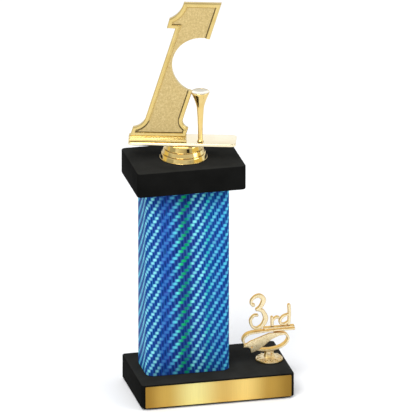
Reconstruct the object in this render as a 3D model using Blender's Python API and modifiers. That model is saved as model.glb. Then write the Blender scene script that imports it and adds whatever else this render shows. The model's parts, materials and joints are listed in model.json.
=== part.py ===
"""Column trophy: a black base and lid clamped on a rectangular column by one threaded rod, with a
gold hole-in-one figure screwed on the rod and a small third-place trim screwed on the base.

Units are metres, +Z up, the front (nameplate) towards -Y. The origin is the middle of the underside.
The figure turns about the tie rod and the trim turns about its screw; each has an empty on its axis.
"""

import math

import bmesh
import bpy
from mathutils import Matrix, Vector

# ---- fits -------------------------------------------------------------------------------------
GAP = 0.0003  # between faces that touch
ROD_CLEARANCE = 0.0004  # round the tie rod, on the radius
SCREW_CLEARANCE = 0.0003  # round the trim screw, on the radius
PLUG_CLEARANCE = 0.0004  # between a plug and the column's inner wall
POCKET_CLEARANCE = 0.0010  # round a washer in its pocket, on the radius

# ---- base ------------------------------------------------------------------------------------
BASE_LENGTH = 0.1270
BASE_DEPTH = 0.0735
BASE_HEIGHT = 0.0202
BASE_CORNER = 0.0024
LID_CORNER = 0.0024
SLAB_EDGE = 0.0009
FELT_THICKNESS = 0.0010
FELT_MARGIN = 0.0020

# ---- nameplate -------------------------------------------------------------------------------
PLATE_SIDE_MARGIN = 0.0028
PLATE_TOP_MARGIN = 0.0009
PLATE_THICKNESS = 0.0008
PLATE_EDGE = 0.0002
TAPE_THICKNESS = 0.0003
TAPE_MARGIN = 0.0015

# ---- column and lid --------------------------------------------------------------------------
COLUMN_INSET = 0.0432  # column's axis from the base's left end
COLUMN_WIDTH = 0.0695
COLUMN_DEPTH = 0.0380
COLUMN_HEIGHT = 0.1602
COLUMN_WALL = 0.0022
COLUMN_CORNER = 0.0065
PLUG_HEIGHT = 0.0140
PLUG_EDGE = 0.0008
LID_LENGTH = 0.0900
LID_DEPTH = 0.0625
LID_HEIGHT = 0.0205

# ---- tie rod and its fastening ---------------------------------------------------------------
ROD_DIAMETER = 0.00635
ROD_TIP = 0.0015  # rod that shows past the nut
ROD_CHAMFER = 0.0006
NUT_ACROSS_FLATS = 0.0111
NUT_HEIGHT = 0.0055
WASHER_DIAMETER = 0.0160
WASHER_THICKNESS = 0.0016
LOCK_WASHER_DIAMETER = 0.0124
LOCK_WASHER_THICKNESS = 0.0016
INSERT_DIAMETER = 0.0100
INSERT_HEIGHT = 0.0070

# ---- figure ----------------------------------------------------------------------------------
FIGURE_TURN = math.radians(-16.0)  # how the figure faces when the rod is tight
RISER_TOP_DIAMETER = 0.0316
RISER_MIDDLE_DIAMETER = 0.0352
RISER_BOTTOM_DIAMETER = 0.0387
RISER_TOP_HEIGHT = 0.0046
RISER_MIDDLE_HEIGHT = 0.0038
RISER_BOTTOM_HEIGHT = 0.0042
RISER_EDGE = 0.0007
RISER_FLARE = 0.0014  # how much wider each step is at its foot
FIGURE_PLATE_LENGTH = 0.0876
FIGURE_PLATE_DEPTH = 0.0225
FIGURE_PLATE_THICKNESS = 0.0025
FIGURE_PLATE_CORNER = 0.0040
FIGURE_PLATE_EDGE = 0.0004
FIGURE_PLATE_SHIFT = -0.0010  # middle of the plate from the rod's axis

# The numeral, in its own plane: x from the rod's axis, z from the top of the figure's plate.
ONE_Y = -0.0055  # the numeral and the tee stand near the plate's front edge
ONE_THICKNESS = 0.0052
ONE_TOP = 0.1192
ONE_LEAN = 0.312  # sideways run for each unit of height
ONE_RIGHT_AT_TOP = 0.0311
ONE_TOP_LENGTH = 0.0304
ONE_STEM_LEFT_AT_FLAG = -0.0061
ONE_FLAG_HEIGHT = 0.0972
ONE_FLAG_TIP = (-0.0130, 0.0975)
ONE_FLAG_SHOULDER = (-0.0109, 0.1052)
ONE_FLAG_SAG = 0.0022  # hollow of the flag's upper edge
ONE_WAIST = 0.0188  # height where the stem widens into its foot
ONE_FLARE_SAG = 0.0016  # hollow of that widening
ONE_FOOT_TOP = 0.0115
ONE_FOOT_LEFT = -0.0405
ONE_FOOT_RIGHT = 0.0042
ONE_FOOT_TAPER = 0.0024
RIM_WIDTH = 0.0036
PANEL_RECESS = 0.0009
PLINTH_HEIGHT = 0.0041
PLINTH_DEPTH = 0.0082
PLINTH_MARGIN = 0.0010
BALL_RADIUS = 0.021335
BALL_CLEARANCE = 0.0026
BALL_DROP = 0.0023  # how far the ball's middle rests below the seat's
SEAT_X = 0.0150
SEAT_Z = 0.0656

# ---- tee -------------------------------------------------------------------------------------
TEE_X = 0.0139
TEE_CUP_RADIUS = 0.0076
TEE_CUP_WALL = 0.0009
TEE_CUP_DEPTH = 0.0140  # from the rim down to where the cup becomes the shank
TEE_NECK_RADIUS = 0.0030
TEE_FLARE = 1.3  # how fast the cup narrows: 1 is a straight cone
TEE_SHANK_RADIUS = 0.0019
TEE_COLLAR_RADIUS = 0.0027
TEE_COLLAR_HEIGHT = 0.0007

# ---- trim ------------------------------------------------------------------------------------
TRIM_INSET = 0.0133  # trim's axis from the base's right end
TRIM_Y = -0.0038
FOOT_RADIUS = 0.0112
FOOT_RIM = 0.0016
FOOT_DOME = 0.0030
FOOT_HUB_RADIUS = 0.0052
NECK_HALF_BOTTOM = 0.0049
NECK_HALF_TOP = 0.0033
NECK_THICKNESS = 0.0048
NECK_HOLE_HALF_WIDTH = 0.0017
NECK_HOLE_BOTTOM = 0.0047
NECK_HOLE_TOP = 0.0066
BAND_THICKNESS = 0.0017
BAND_DEPTH = 0.0054
BAND_BOTTOM = 0.0082  # underside of the ribbon's lower run, over the foot's underside
BAND_TOP = 0.0267  # upper side of the ribbon's upper run
TAIL_THICKNESS = 0.0018
TAIL_PROUD = 0.0006
TAIL_HOLE_RADIUS = 0.0008
BAR_LEFT = -0.0046
BAR_RIGHT = 0.0209
BAR_TOP = 0.0283
BAR_DEPTH = 0.0040
BAR_STEP = 0.0001  # how far the bar stands behind the band
LETTER_Y = 0.0007  # letters stand on the bar, behind the ribbon's middle
LETTER_THICKNESS = 0.0030
TRIM_SCREW_DIAMETER = 0.0026
TRIM_SCREW_ENGAGEMENT = 0.0031
TRIM_SCREW_HEAD_DIAMETER = 0.0056
TRIM_SCREW_HEAD_HEIGHT = 0.0022
TRIM_WASHER_DIAMETER = 0.0090
TRIM_WASHER_THICKNESS = 0.0008
TRIM_POCKET_DEPTH = 0.0080

# ---- fineness of round shapes ----------------------------------------------------------------
ROUND_SIDES = 40
SMALL_ROUND_SIDES = 20
CORNER_SEGMENTS = 4
EDGE_SEGMENTS = 2
STROKE_STEPS = 4
MERGE = 0.00001

# ---- levels that follow from the sizes above -------------------------------------------------
COLUMN_X = COLUMN_INSET - BASE_LENGTH / 2
TRIM_X = BASE_LENGTH / 2 - TRIM_INSET
BASE_BOTTOM = FELT_THICKNESS + GAP
BASE_TOP = BASE_BOTTOM + BASE_HEIGHT
COLUMN_BOTTOM = BASE_TOP + GAP
COLUMN_TOP = COLUMN_BOTTOM + COLUMN_HEIGHT
LID_BOTTOM = COLUMN_TOP + GAP
LID_TOP = LID_BOTTOM + LID_HEIGHT
FIGURE_BOTTOM = LID_TOP + GAP
RISER_HEIGHT = RISER_TOP_HEIGHT + RISER_MIDDLE_HEIGHT + RISER_BOTTOM_HEIGHT
FIGURE_PLATE_BOTTOM = RISER_HEIGHT + GAP
FIGURE_PLATE_TOP = FIGURE_PLATE_BOTTOM + FIGURE_PLATE_THICKNESS
ONE_BOTTOM = FIGURE_PLATE_TOP + GAP
TRIM_BOTTOM = BASE_TOP + GAP
NUT_CORNER_RADIUS = NUT_ACROSS_FLATS / 2 / math.cos(math.radians(30))
ROD_HOLE_RADIUS = ROD_DIAMETER / 2 + ROD_CLEARANCE
ROD_POCKET_DEPTH = WASHER_THICKNESS + LOCK_WASHER_THICKNESS + NUT_HEIGHT + ROD_TIP + 3 * GAP
ROD_POCKET_RADIUS = WASHER_DIAMETER / 2 + POCKET_CLEARANCE
ROD_POCKET_TOP = BASE_BOTTOM + ROD_POCKET_DEPTH
SOCKET_RADIUS = INSERT_DIAMETER / 2 + GAP
SOCKET_DEPTH = INSERT_HEIGHT + GAP
BALL_HOLE_RADIUS = BALL_RADIUS + BALL_CLEARANCE
TRIM_HOLE_RADIUS = TRIM_SCREW_DIAMETER / 2 + SCREW_CLEARANCE
TRIM_POCKET_RADIUS = TRIM_WASHER_DIAMETER / 2 + POCKET_CLEARANCE
TRIM_POCKET_TOP = BASE_BOTTOM + TRIM_POCKET_DEPTH


# ---- scene -----------------------------------------------------------------------------------
def clear_scene():
    for obj in list(bpy.data.objects):
        bpy.data.objects.remove(obj, do_unlink=True)
    parts = bpy.data.collections.new("column_trophy")
    cutters = bpy.data.collections.new("column_trophy_cutters")
    bpy.context.scene.collection.children.link(parts)
    bpy.context.scene.collection.children.link(cutters)
    return parts, cutters


PARTS, CUTTERS = clear_scene()


def principled(name, colour, roughness, metallic):
    finish = bpy.data.materials.new(name)
    finish.use_nodes = True
    shader = finish.node_tree.nodes["Principled BSDF"]
    shader.inputs["Base Color"].default_value = (*colour, 1.0)
    shader.inputs["Roughness"].default_value = roughness
    shader.inputs["Metallic"].default_value = metallic
    return finish


def black_lacquer(name):
    return principled(name, (0.012, 0.012, 0.012), 0.45, 0.0)


def polished_gold(name):
    return principled(name, (0.83, 0.61, 0.26), 0.22, 1.0)


def satin_gold(name):
    return principled(name, (0.86, 0.70, 0.40), 0.38, 1.0)


def zinc(name):
    return principled(name, (0.62, 0.63, 0.65), 0.35, 1.0)


def place(obj, finish, location=(0.0, 0.0, 0.0), parent=None):
    """Gives a finished piece its material and its place."""
    obj.data.materials.clear()
    obj.data.materials.append(finish)
    obj.location = Vector(location) + obj.location
    obj.parent = parent
    return obj


def object_from(bm, name, collection=None):
    mesh = bpy.data.meshes.new(name)
    bm.to_mesh(mesh)
    bm.free()
    obj = bpy.data.objects.new(name, mesh)
    (collection or PARTS).objects.link(obj)
    return obj


def as_cutter(obj):
    for owner in list(obj.users_collection):
        owner.objects.unlink(obj)
    CUTTERS.objects.link(obj)
    obj.hide_render = True
    obj.display_type = "WIRE"
    return obj


def combine(obj, other, operation):
    """Cuts a piece by a helper, or joins the helper to it."""
    as_cutter(other)
    modifier = obj.modifiers.new(f"{operation.lower()} {other.name}", "BOOLEAN")
    modifier.operation = operation
    modifier.solver = "EXACT"
    modifier.object = other


def pivot(name, location, turn=0.0):
    empty = bpy.data.objects.new(name, None)
    PARTS.objects.link(empty)
    empty.location = location
    empty.rotation_euler = (0.0, 0.0, turn)
    return empty


# ---- basic shapes ----------------------------------------------------------------------------
def rounded_box(name, length, depth, height, corner, edge):
    """A block standing on z = 0 with round upright corners and softened top and bottom edges."""
    bm = bmesh.new()
    bmesh.ops.create_cube(bm, size=1.0)
    bmesh.ops.scale(bm, vec=(length, depth, height), verts=bm.verts)
    bmesh.ops.translate(bm, vec=(0.0, 0.0, height / 2), verts=bm.verts)
    upright = [e for e in bm.edges if abs(e.verts[0].co.z - e.verts[1].co.z) > height / 2]
    bmesh.ops.bevel(bm, geom=upright, offset=corner, segments=CORNER_SEGMENTS, profile=0.5,
                    affect="EDGES")
    if edge:
        level = [e for e in bm.edges if len({f.normal.z > 0.5 for f in e.link_faces}) == 2
                 or len({f.normal.z < -0.5 for f in e.link_faces}) == 2]
        bmesh.ops.bevel(bm, geom=level, offset=edge, segments=EDGE_SEGMENTS, profile=0.5,
                        affect="EDGES")
    return object_from(bm, name)


def cylinder(name, radius, bottom, top, sides=ROUND_SIDES):
    bm = bmesh.new()
    bmesh.ops.create_cone(bm, cap_ends=True, segments=sides, radius1=radius, radius2=radius,
                          depth=top - bottom)
    bmesh.ops.translate(bm, vec=(0.0, 0.0, (top + bottom) / 2), verts=bm.verts)
    return object_from(bm, name)


def turned(name, profile, closed, sides=ROUND_SIDES):
    """Turns a profile of (radius, z) points, listed down the outer side, about the z axis."""
    mesh = bpy.data.meshes.new(name)
    count = len(profile)
    edges = [(i, i + 1) for i in range(count - 1)]
    if closed:
        edges.append((count - 1, 0))
    mesh.from_pydata([(radius, 0.0, z) for radius, z in profile], edges, [])
    obj = bpy.data.objects.new(name, mesh)
    PARTS.objects.link(obj)
    screw = obj.modifiers.new("turn", "SCREW")
    screw.axis = "Z"
    screw.angle = math.tau
    screw.steps = sides
    screw.render_steps = sides
    screw.use_merge_vertices = True
    screw.merge_threshold = MERGE
    screw.use_smooth_shade = True
    return obj


def ring(name, outer_radius, inner_radius, height, sides=SMALL_ROUND_SIDES):
    profile = [(outer_radius, height), (outer_radius, 0.0), (inner_radius, 0.0),
               (inner_radius, height)]
    return turned(name, profile, closed=True, sides=sides)


def upright_outline(name, points, thickness):
    """A flat shape in the XZ plane, given by (x, z) points, as thick as said along Y."""
    data = bpy.data.curves.new(name, "CURVE")
    data.dimensions = "2D"
    data.fill_mode = "BOTH"
    data.extrude = thickness / 2
    spline = data.splines.new("POLY")
    spline.points.add(len(points) - 1)
    for point, (x, z) in zip(spline.points, points):
        point.co = (x, z, 0.0, 1.0)
    spline.use_cyclic_u = True
    curve = bpy.data.objects.new(name, data)
    PARTS.objects.link(curve)
    curve.rotation_euler = (math.pi / 2, 0.0, 0.0)
    return meshed(curve)


def meshed(curve):
    """The closed mesh of a curve object, in a new object that takes its place."""
    bpy.context.view_layer.update()
    graph = bpy.context.evaluated_depsgraph_get()
    mesh = bpy.data.meshes.new_from_object(curve.evaluated_get(graph))
    name = curve.name
    world = curve.matrix_world.copy()
    bpy.data.objects.remove(curve, do_unlink=True)
    bm = bmesh.new()
    bm.from_mesh(mesh)
    bmesh.ops.remove_doubles(bm, verts=bm.verts, dist=MERGE)
    bmesh.ops.recalc_face_normals(bm, faces=bm.faces)
    bm.to_mesh(mesh)
    bm.free()
    mesh.transform(world)
    mesh.name = name
    obj = bpy.data.objects.new(name, mesh)
    PARTS.objects.link(obj)
    return obj


def hollow_edge(start, end, sag, steps):
    """Points between two ends along a shallow arc that sinks by sag to the line's right."""
    run = Vector(end) - Vector(start)
    side = Vector((run.y, -run.x)).normalized()
    points = []
    for i in range(1, steps):
        t = i / steps
        points.append(tuple(Vector(start) + run * t + side * sag * 4 * t * (1 - t)))
    return points


def smooth_path(knots, steps=STROKE_STEPS):
    """A smooth curve through (x, z, width) knots."""
    points = []
    for i in range(len(knots) - 1):
        before = Vector(knots[max(i - 1, 0)])
        start = Vector(knots[i])
        end = Vector(knots[i + 1])
        after = Vector(knots[min(i + 2, len(knots) - 1)])
        for step in range(steps):
            t = step / steps
            bend = (end - before) * t + (2 * before - 5 * start + 4 * end - after) * t**2
            bend += (3 * start - before - 3 * end + after) * t**3
            points.append(start + bend / 2)
    points.append(Vector(knots[-1]))
    return points


def stroke_outline(knots, round_start=True, round_end=True):
    """The outline of a stroke whose width varies along a smooth path of (x, z, width) knots."""
    path = smooth_path(knots)
    last = len(path) - 1
    left, right = [], []
    for i, point in enumerate(path):
        ahead = path[min(i + 1, last)] - path[max(i - 1, 0)]
        side = Vector((-ahead.y, ahead.x)).normalized() * point.z / 2
        left.append((point.x + side.x, point.y + side.y))
        right.append((point.x - side.x, point.y - side.y))
    outline = list(left)
    if round_end:
        outline += round_cap(path[last], path[last - 1])
    outline += reversed(right)
    if round_start:
        outline += round_cap(path[0], path[1])
    return outline


def round_cap(tip, inner, steps=4):
    """Points of the half circle that closes a stroke at its tip, from its left side to its right."""
    away = math.atan2(tip.y - inner.y, tip.x - inner.x)
    angles = [away + math.pi / 2 - math.pi * i / steps for i in range(1, steps)]
    return [(tip.x + tip.z / 2 * math.cos(a), tip.y + tip.z / 2 * math.sin(a)) for a in angles]


def inset(points, distance):
    """The polygon moved inwards by the distance on every side; the points run clockwise."""
    count = len(points)
    moved = []
    for i in range(count):
        before = Vector(points[i - 1])
        here = Vector(points[i])
        after = Vector(points[(i + 1) % count])
        first = (here - before).normalized()
        second = (after - here).normalized()
        inward = Vector((first.y, -first.x)) + Vector((second.y, -second.x))
        moved.append(tuple(here + inward * distance / (1 + first.dot(second))))
    return moved


# ---- stand -----------------------------------------------------------------------------------
def make_base():
    slab = rounded_box("base_slab", BASE_LENGTH, BASE_DEPTH, BASE_HEIGHT, BASE_CORNER, SLAB_EDGE)
    place(slab, black_lacquer("base lacquer"), (0.0, 0.0, BASE_BOTTOM))
    over = BASE_TOP + GAP
    under = BASE_BOTTOM - GAP
    holes = (
        ("rod hole", COLUMN_X, 0.0, ROD_HOLE_RADIUS, over),
        ("rod pocket", COLUMN_X, 0.0, ROD_POCKET_RADIUS, ROD_POCKET_TOP),
        ("trim hole", TRIM_X, TRIM_Y, TRIM_HOLE_RADIUS, over),
        ("trim pocket", TRIM_X, TRIM_Y, TRIM_POCKET_RADIUS, TRIM_POCKET_TOP),
    )
    for name, x, y, radius, top in holes:
        cutter = cylinder(f"base {name}", radius, under, top, SMALL_ROUND_SIDES)
        cutter.location = (x, y, 0.0)
        combine(slab, cutter, "DIFFERENCE")


def make_felt():
    length = BASE_LENGTH - 2 * FELT_MARGIN
    depth = BASE_DEPTH - 2 * FELT_MARGIN
    felt = rounded_box("base_felt", length, depth, FELT_THICKNESS, BASE_CORNER, 0.0)
    place(felt, principled("felt", (0.02, 0.02, 0.022), 0.95, 0.0))
    for name, x, y, radius in (("rod", COLUMN_X, 0.0, ROD_POCKET_RADIUS),
                               ("trim", TRIM_X, TRIM_Y, TRIM_POCKET_RADIUS)):
        cutter = cylinder(f"felt {name} access", radius, -GAP, FELT_THICKNESS + GAP,
                          SMALL_ROUND_SIDES)
        cutter.location = (x, y, 0.0)
        combine(felt, cutter, "DIFFERENCE")


def make_nameplate():
    """The plate and its adhesive sheet stand on the base's front face."""
    length = BASE_LENGTH - 2 * PLATE_SIDE_MARGIN
    height = BASE_HEIGHT - 2 * PLATE_TOP_MARGIN
    front = -BASE_DEPTH / 2
    middle = BASE_BOTTOM + BASE_HEIGHT / 2
    layers = (
        ("nameplate_tape", length - 2 * TAPE_MARGIN, height - 2 * TAPE_MARGIN, TAPE_THICKNESS, 0.0,
         front - GAP, principled("adhesive", (0.75, 0.73, 0.66), 0.8, 0.0)),
        ("nameplate", length, height, PLATE_THICKNESS, PLATE_EDGE,
         front - 2 * GAP - TAPE_THICKNESS, polished_gold("nameplate gold")),
    )
    for name, wide, high, thick, edge, back, finish in layers:
        sheet = rounded_box(name, wide, high, thick, BASE_CORNER / 3, edge)
        sheet.rotation_euler = (math.pi / 2, 0.0, 0.0)
        place(sheet, finish, (0.0, back, middle))


def make_column():
    """An extruded tube: the outer skin of a rounded block without its ends, thickened inwards."""
    sleeve = rounded_box("column_sleeve", COLUMN_WIDTH, COLUMN_DEPTH, COLUMN_HEIGHT, COLUMN_CORNER,
                         0.0)
    bm = bmesh.new()
    bm.from_mesh(sleeve.data)
    ends = [f for f in bm.faces if abs(f.normal.z) > 0.5]
    bmesh.ops.delete(bm, geom=ends, context="FACES")
    bm.to_mesh(sleeve.data)
    bm.free()
    wall = sleeve.modifiers.new("wall", "SOLIDIFY")
    wall.thickness = COLUMN_WALL
    wall.offset = -1.0
    wall.use_even_offset = True
    place(sleeve, principled("twill film", (0.05, 0.24, 0.50), 0.3, 0.4),
          (COLUMN_X, 0.0, COLUMN_BOTTOM))


def make_plugs():
    shrink = 2 * (COLUMN_WALL + PLUG_CLEARANCE)
    corner = COLUMN_CORNER - COLUMN_WALL
    for name, bottom in (("column_plug_lower", BASE_TOP + GAP),
                         ("column_plug_upper", LID_BOTTOM - GAP - PLUG_HEIGHT)):
        plug = rounded_box(name, COLUMN_WIDTH - shrink, COLUMN_DEPTH - shrink, PLUG_HEIGHT, corner,
                           PLUG_EDGE)
        place(plug, principled(f"{name} wood", (0.45, 0.33, 0.20), 0.7, 0.0),
              (COLUMN_X, 0.0, bottom))
        cutter = cylinder(f"{name} rod hole", ROD_HOLE_RADIUS, bottom - GAP,
                          bottom + PLUG_HEIGHT + GAP, SMALL_ROUND_SIDES)
        cutter.location = (COLUMN_X, 0.0, 0.0)
        combine(plug, cutter, "DIFFERENCE")


def make_lid():
    lid = rounded_box("lid_slab", LID_LENGTH, LID_DEPTH, LID_HEIGHT, LID_CORNER, SLAB_EDGE)
    place(lid, black_lacquer("lid lacquer"), (COLUMN_X, 0.0, LID_BOTTOM))
    cutter = cylinder("lid rod hole", ROD_HOLE_RADIUS, LID_BOTTOM - GAP, LID_TOP + GAP,
                      SMALL_ROUND_SIDES)
    cutter.location = (COLUMN_X, 0.0, 0.0)
    combine(lid, cutter, "DIFFERENCE")


def make_tie_rod():
    """The washers and the nut hang from the pocket's roof, and the rod ends in the figure."""
    axis = (COLUMN_X, 0.0)
    washer_bottom = ROD_POCKET_TOP - GAP - WASHER_THICKNESS
    lock_bottom = washer_bottom - GAP - LOCK_WASHER_THICKNESS
    nut_bottom = lock_bottom - GAP - NUT_HEIGHT
    rod_bottom = nut_bottom - ROD_TIP + GAP
    rod_top = FIGURE_BOTTOM + INSERT_HEIGHT
    radius = ROD_DIAMETER / 2
    rod = turned("tie_rod", [
        (0.0, rod_top),
        (radius - ROD_CHAMFER, rod_top),
        (radius, rod_top - ROD_CHAMFER),
        (radius, rod_bottom + ROD_CHAMFER),
        (radius - ROD_CHAMFER, rod_bottom),
        (0.0, rod_bottom),
    ], closed=False, sides=SMALL_ROUND_SIDES)
    place(rod, zinc("rod zinc"), (*axis, 0.0))
    washer = ring("rod_washer", WASHER_DIAMETER / 2, ROD_HOLE_RADIUS, WASHER_THICKNESS)
    place(washer, zinc("washer zinc"), (*axis, washer_bottom))
    lock = ring("rod_lock_washer", LOCK_WASHER_DIAMETER / 2, ROD_HOLE_RADIUS,
                LOCK_WASHER_THICKNESS)
    place(lock, zinc("lock washer zinc"), (*axis, lock_bottom))
    nut = cylinder("rod_nut", NUT_CORNER_RADIUS, 0.0, NUT_HEIGHT, sides=6)
    place(nut, zinc("nut zinc"), (*axis, nut_bottom))
    bore = cylinder("nut bore", ROD_HOLE_RADIUS, nut_bottom - GAP, nut_bottom + NUT_HEIGHT + GAP,
                    SMALL_ROUND_SIDES)
    bore.location = (*axis, 0.0)
    combine(nut, bore, "DIFFERENCE")


# ---- figure ----------------------------------------------------------------------------------
def make_riser(axis):
    """Three round steps with a blind socket underneath for the threaded insert."""
    steps = (
        (RISER_TOP_DIAMETER / 2, RISER_TOP_HEIGHT),
        (RISER_MIDDLE_DIAMETER / 2, RISER_MIDDLE_HEIGHT),
        (RISER_BOTTOM_DIAMETER / 2, RISER_BOTTOM_HEIGHT),
    )
    profile = [(0.0, RISER_HEIGHT)]
    level = RISER_HEIGHT
    for radius, height in steps:
        shoulder = radius - RISER_FLARE
        profile += [(shoulder - RISER_EDGE, level), (shoulder, level - RISER_EDGE)]
        level -= height
        profile.append((radius, level))
    profile += [(SOCKET_RADIUS, 0.0), (SOCKET_RADIUS, SOCKET_DEPTH), (0.0, SOCKET_DEPTH)]
    riser = turned("figure_riser", profile, closed=False)
    place(riser, polished_gold("riser gold"), parent=axis)


def make_insert(axis):
    insert = ring("figure_insert_nut", INSERT_DIAMETER / 2, ROD_HOLE_RADIUS, INSERT_HEIGHT - GAP)
    place(insert, principled("insert brass", (0.72, 0.55, 0.25), 0.35, 1.0), (0.0, 0.0, GAP), axis)


def make_figure_plate(axis):
    plate = rounded_box("figure_plate", FIGURE_PLATE_LENGTH, FIGURE_PLATE_DEPTH,
                        FIGURE_PLATE_THICKNESS, FIGURE_PLATE_CORNER, FIGURE_PLATE_EDGE)
    place(plate, polished_gold("mirror gold"), (FIGURE_PLATE_SHIFT, 0.0, FIGURE_PLATE_BOTTOM), axis)


def right_edge_at(height):
    return ONE_RIGHT_AT_TOP - ONE_LEAN * (ONE_TOP - height)


def left_edge_at(height):
    return ONE_STEM_LEFT_AT_FLAG - ONE_LEAN * (ONE_FLAG_HEIGHT - height)


def one_outline():
    """The numeral's outline, clockwise from its top left corner, before the ball's seat is cut."""
    top_left = (ONE_RIGHT_AT_TOP - ONE_TOP_LENGTH, ONE_TOP)
    outline = [top_left, (ONE_RIGHT_AT_TOP, ONE_TOP)]
    right_waist = (right_edge_at(ONE_WAIST), ONE_WAIST)
    right_serif = (ONE_FOOT_RIGHT, ONE_FOOT_TOP)
    outline += [right_waist, *hollow_edge(right_waist, right_serif, ONE_FLARE_SAG, steps=4)]
    outline.append(right_serif)
    outline.append((ONE_FOOT_RIGHT - ONE_FOOT_TAPER, PLINTH_HEIGHT))
    outline.append((ONE_FOOT_LEFT - ONE_FOOT_TAPER, PLINTH_HEIGHT))
    left_serif = (ONE_FOOT_LEFT, ONE_FOOT_TOP)
    left_waist = (left_edge_at(ONE_WAIST), ONE_WAIST)
    outline += [left_serif, *hollow_edge(left_serif, left_waist, ONE_FLARE_SAG, steps=4)]
    outline.append(left_waist)
    outline.append((ONE_STEM_LEFT_AT_FLAG, ONE_FLAG_HEIGHT))
    outline.append(ONE_FLAG_TIP)
    outline.append(ONE_FLAG_SHOULDER)
    outline += hollow_edge(ONE_FLAG_SHOULDER, top_left, ONE_FLAG_SAG, steps=6)
    return outline


def make_number(axis):
    """A rimmed plaque on a low plinth, with a round seat for a golf ball cut through its edge."""
    number = upright_outline("number_one", one_outline(), ONE_THICKNESS)
    place(number, polished_gold("number gold"), (0.0, ONE_Y, ONE_BOTTOM), axis)
    left = ONE_FOOT_LEFT - ONE_FOOT_TAPER - PLINTH_MARGIN
    right = ONE_FOOT_RIGHT - ONE_FOOT_TAPER + PLINTH_MARGIN
    plinth = rounded_box("number plinth", right - left, PLINTH_DEPTH, PLINTH_HEIGHT + PANEL_RECESS,
                         PLINTH_MARGIN / 2, 0.0)
    plinth.location = ((left + right) / 2, ONE_Y, ONE_BOTTOM)
    plinth.parent = axis
    combine(number, plinth, "UNION")
    bm = bmesh.new()
    bmesh.ops.create_cone(bm, cap_ends=True, segments=ROUND_SIDES, radius1=BALL_HOLE_RADIUS,
                          radius2=BALL_HOLE_RADIUS, depth=2 * PLINTH_DEPTH,
                          matrix=Matrix.Rotation(math.pi / 2, 4, "X"))
    seat = object_from(bm, "ball seat")
    seat.location = (SEAT_X, ONE_Y, ONE_BOTTOM + SEAT_Z)
    seat.parent = axis
    combine(number, seat, "DIFFERENCE")
    panel = inset(one_outline(), RIM_WIDTH)
    for name, side in (("front panel", -1), ("back panel", 1)):
        recess = upright_outline(name, panel, 2 * PANEL_RECESS)
        recess.location = (0.0, ONE_Y + side * ONE_THICKNESS / 2, ONE_BOTTOM)
        recess.parent = axis
        combine(number, recess, "DIFFERENCE")


def make_tee(axis):
    """The cup's hollow is the ball's own round. Its side is notched to clear the numeral's edge."""
    rim = SEAT_Z - BALL_DROP - math.sqrt(BALL_RADIUS**2 - TEE_CUP_RADIUS**2) - GAP
    floor = rim - (BALL_RADIUS - math.sqrt(BALL_RADIUS**2 - TEE_CUP_RADIUS**2))
    lip = TEE_CUP_RADIUS - TEE_CUP_WALL
    profile = [(0.0, floor)]
    for share in (0.5, 1.0):
        radius = lip * share
        profile.append((radius, floor + BALL_RADIUS - math.sqrt(BALL_RADIUS**2 - radius**2)))
    profile += [(TEE_CUP_RADIUS - TEE_CUP_WALL / 3, rim), (TEE_CUP_RADIUS, rim - TEE_CUP_WALL)]
    steps = 6
    for i in range(1, steps + 1):
        t = i / steps
        radius = TEE_NECK_RADIUS + (TEE_CUP_RADIUS - TEE_NECK_RADIUS) * (1 - t) ** TEE_FLARE
        profile.append((radius, rim - TEE_CUP_WALL - (TEE_CUP_DEPTH - TEE_CUP_WALL) * t))
    profile += [(TEE_SHANK_RADIUS, 2 * TEE_COLLAR_HEIGHT), (TEE_COLLAR_RADIUS, TEE_COLLAR_HEIGHT),
                (TEE_COLLAR_RADIUS, 0.0), (0.0, 0.0)]
    tee = turned("ball_tee", profile, closed=False, sides=SMALL_ROUND_SIDES)
    place(tee, polished_gold("tee gold"), (TEE_X, ONE_Y, ONE_BOTTOM), axis)
    low = rim - TEE_CUP_DEPTH
    high = rim + TEE_CUP_RADIUS
    edge = [(right_edge_at(low) + 2 * GAP, low), (right_edge_at(high) + 2 * GAP, high)]
    far = [(x - 2 * TEE_CUP_RADIUS, z) for x, z in reversed(edge)]
    notch = upright_outline("tee notch", edge + far, ONE_THICKNESS + 4 * GAP)
    notch.location = (0.0, ONE_Y, ONE_BOTTOM)
    notch.parent = axis
    combine(tee, notch, "DIFFERENCE")


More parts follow.
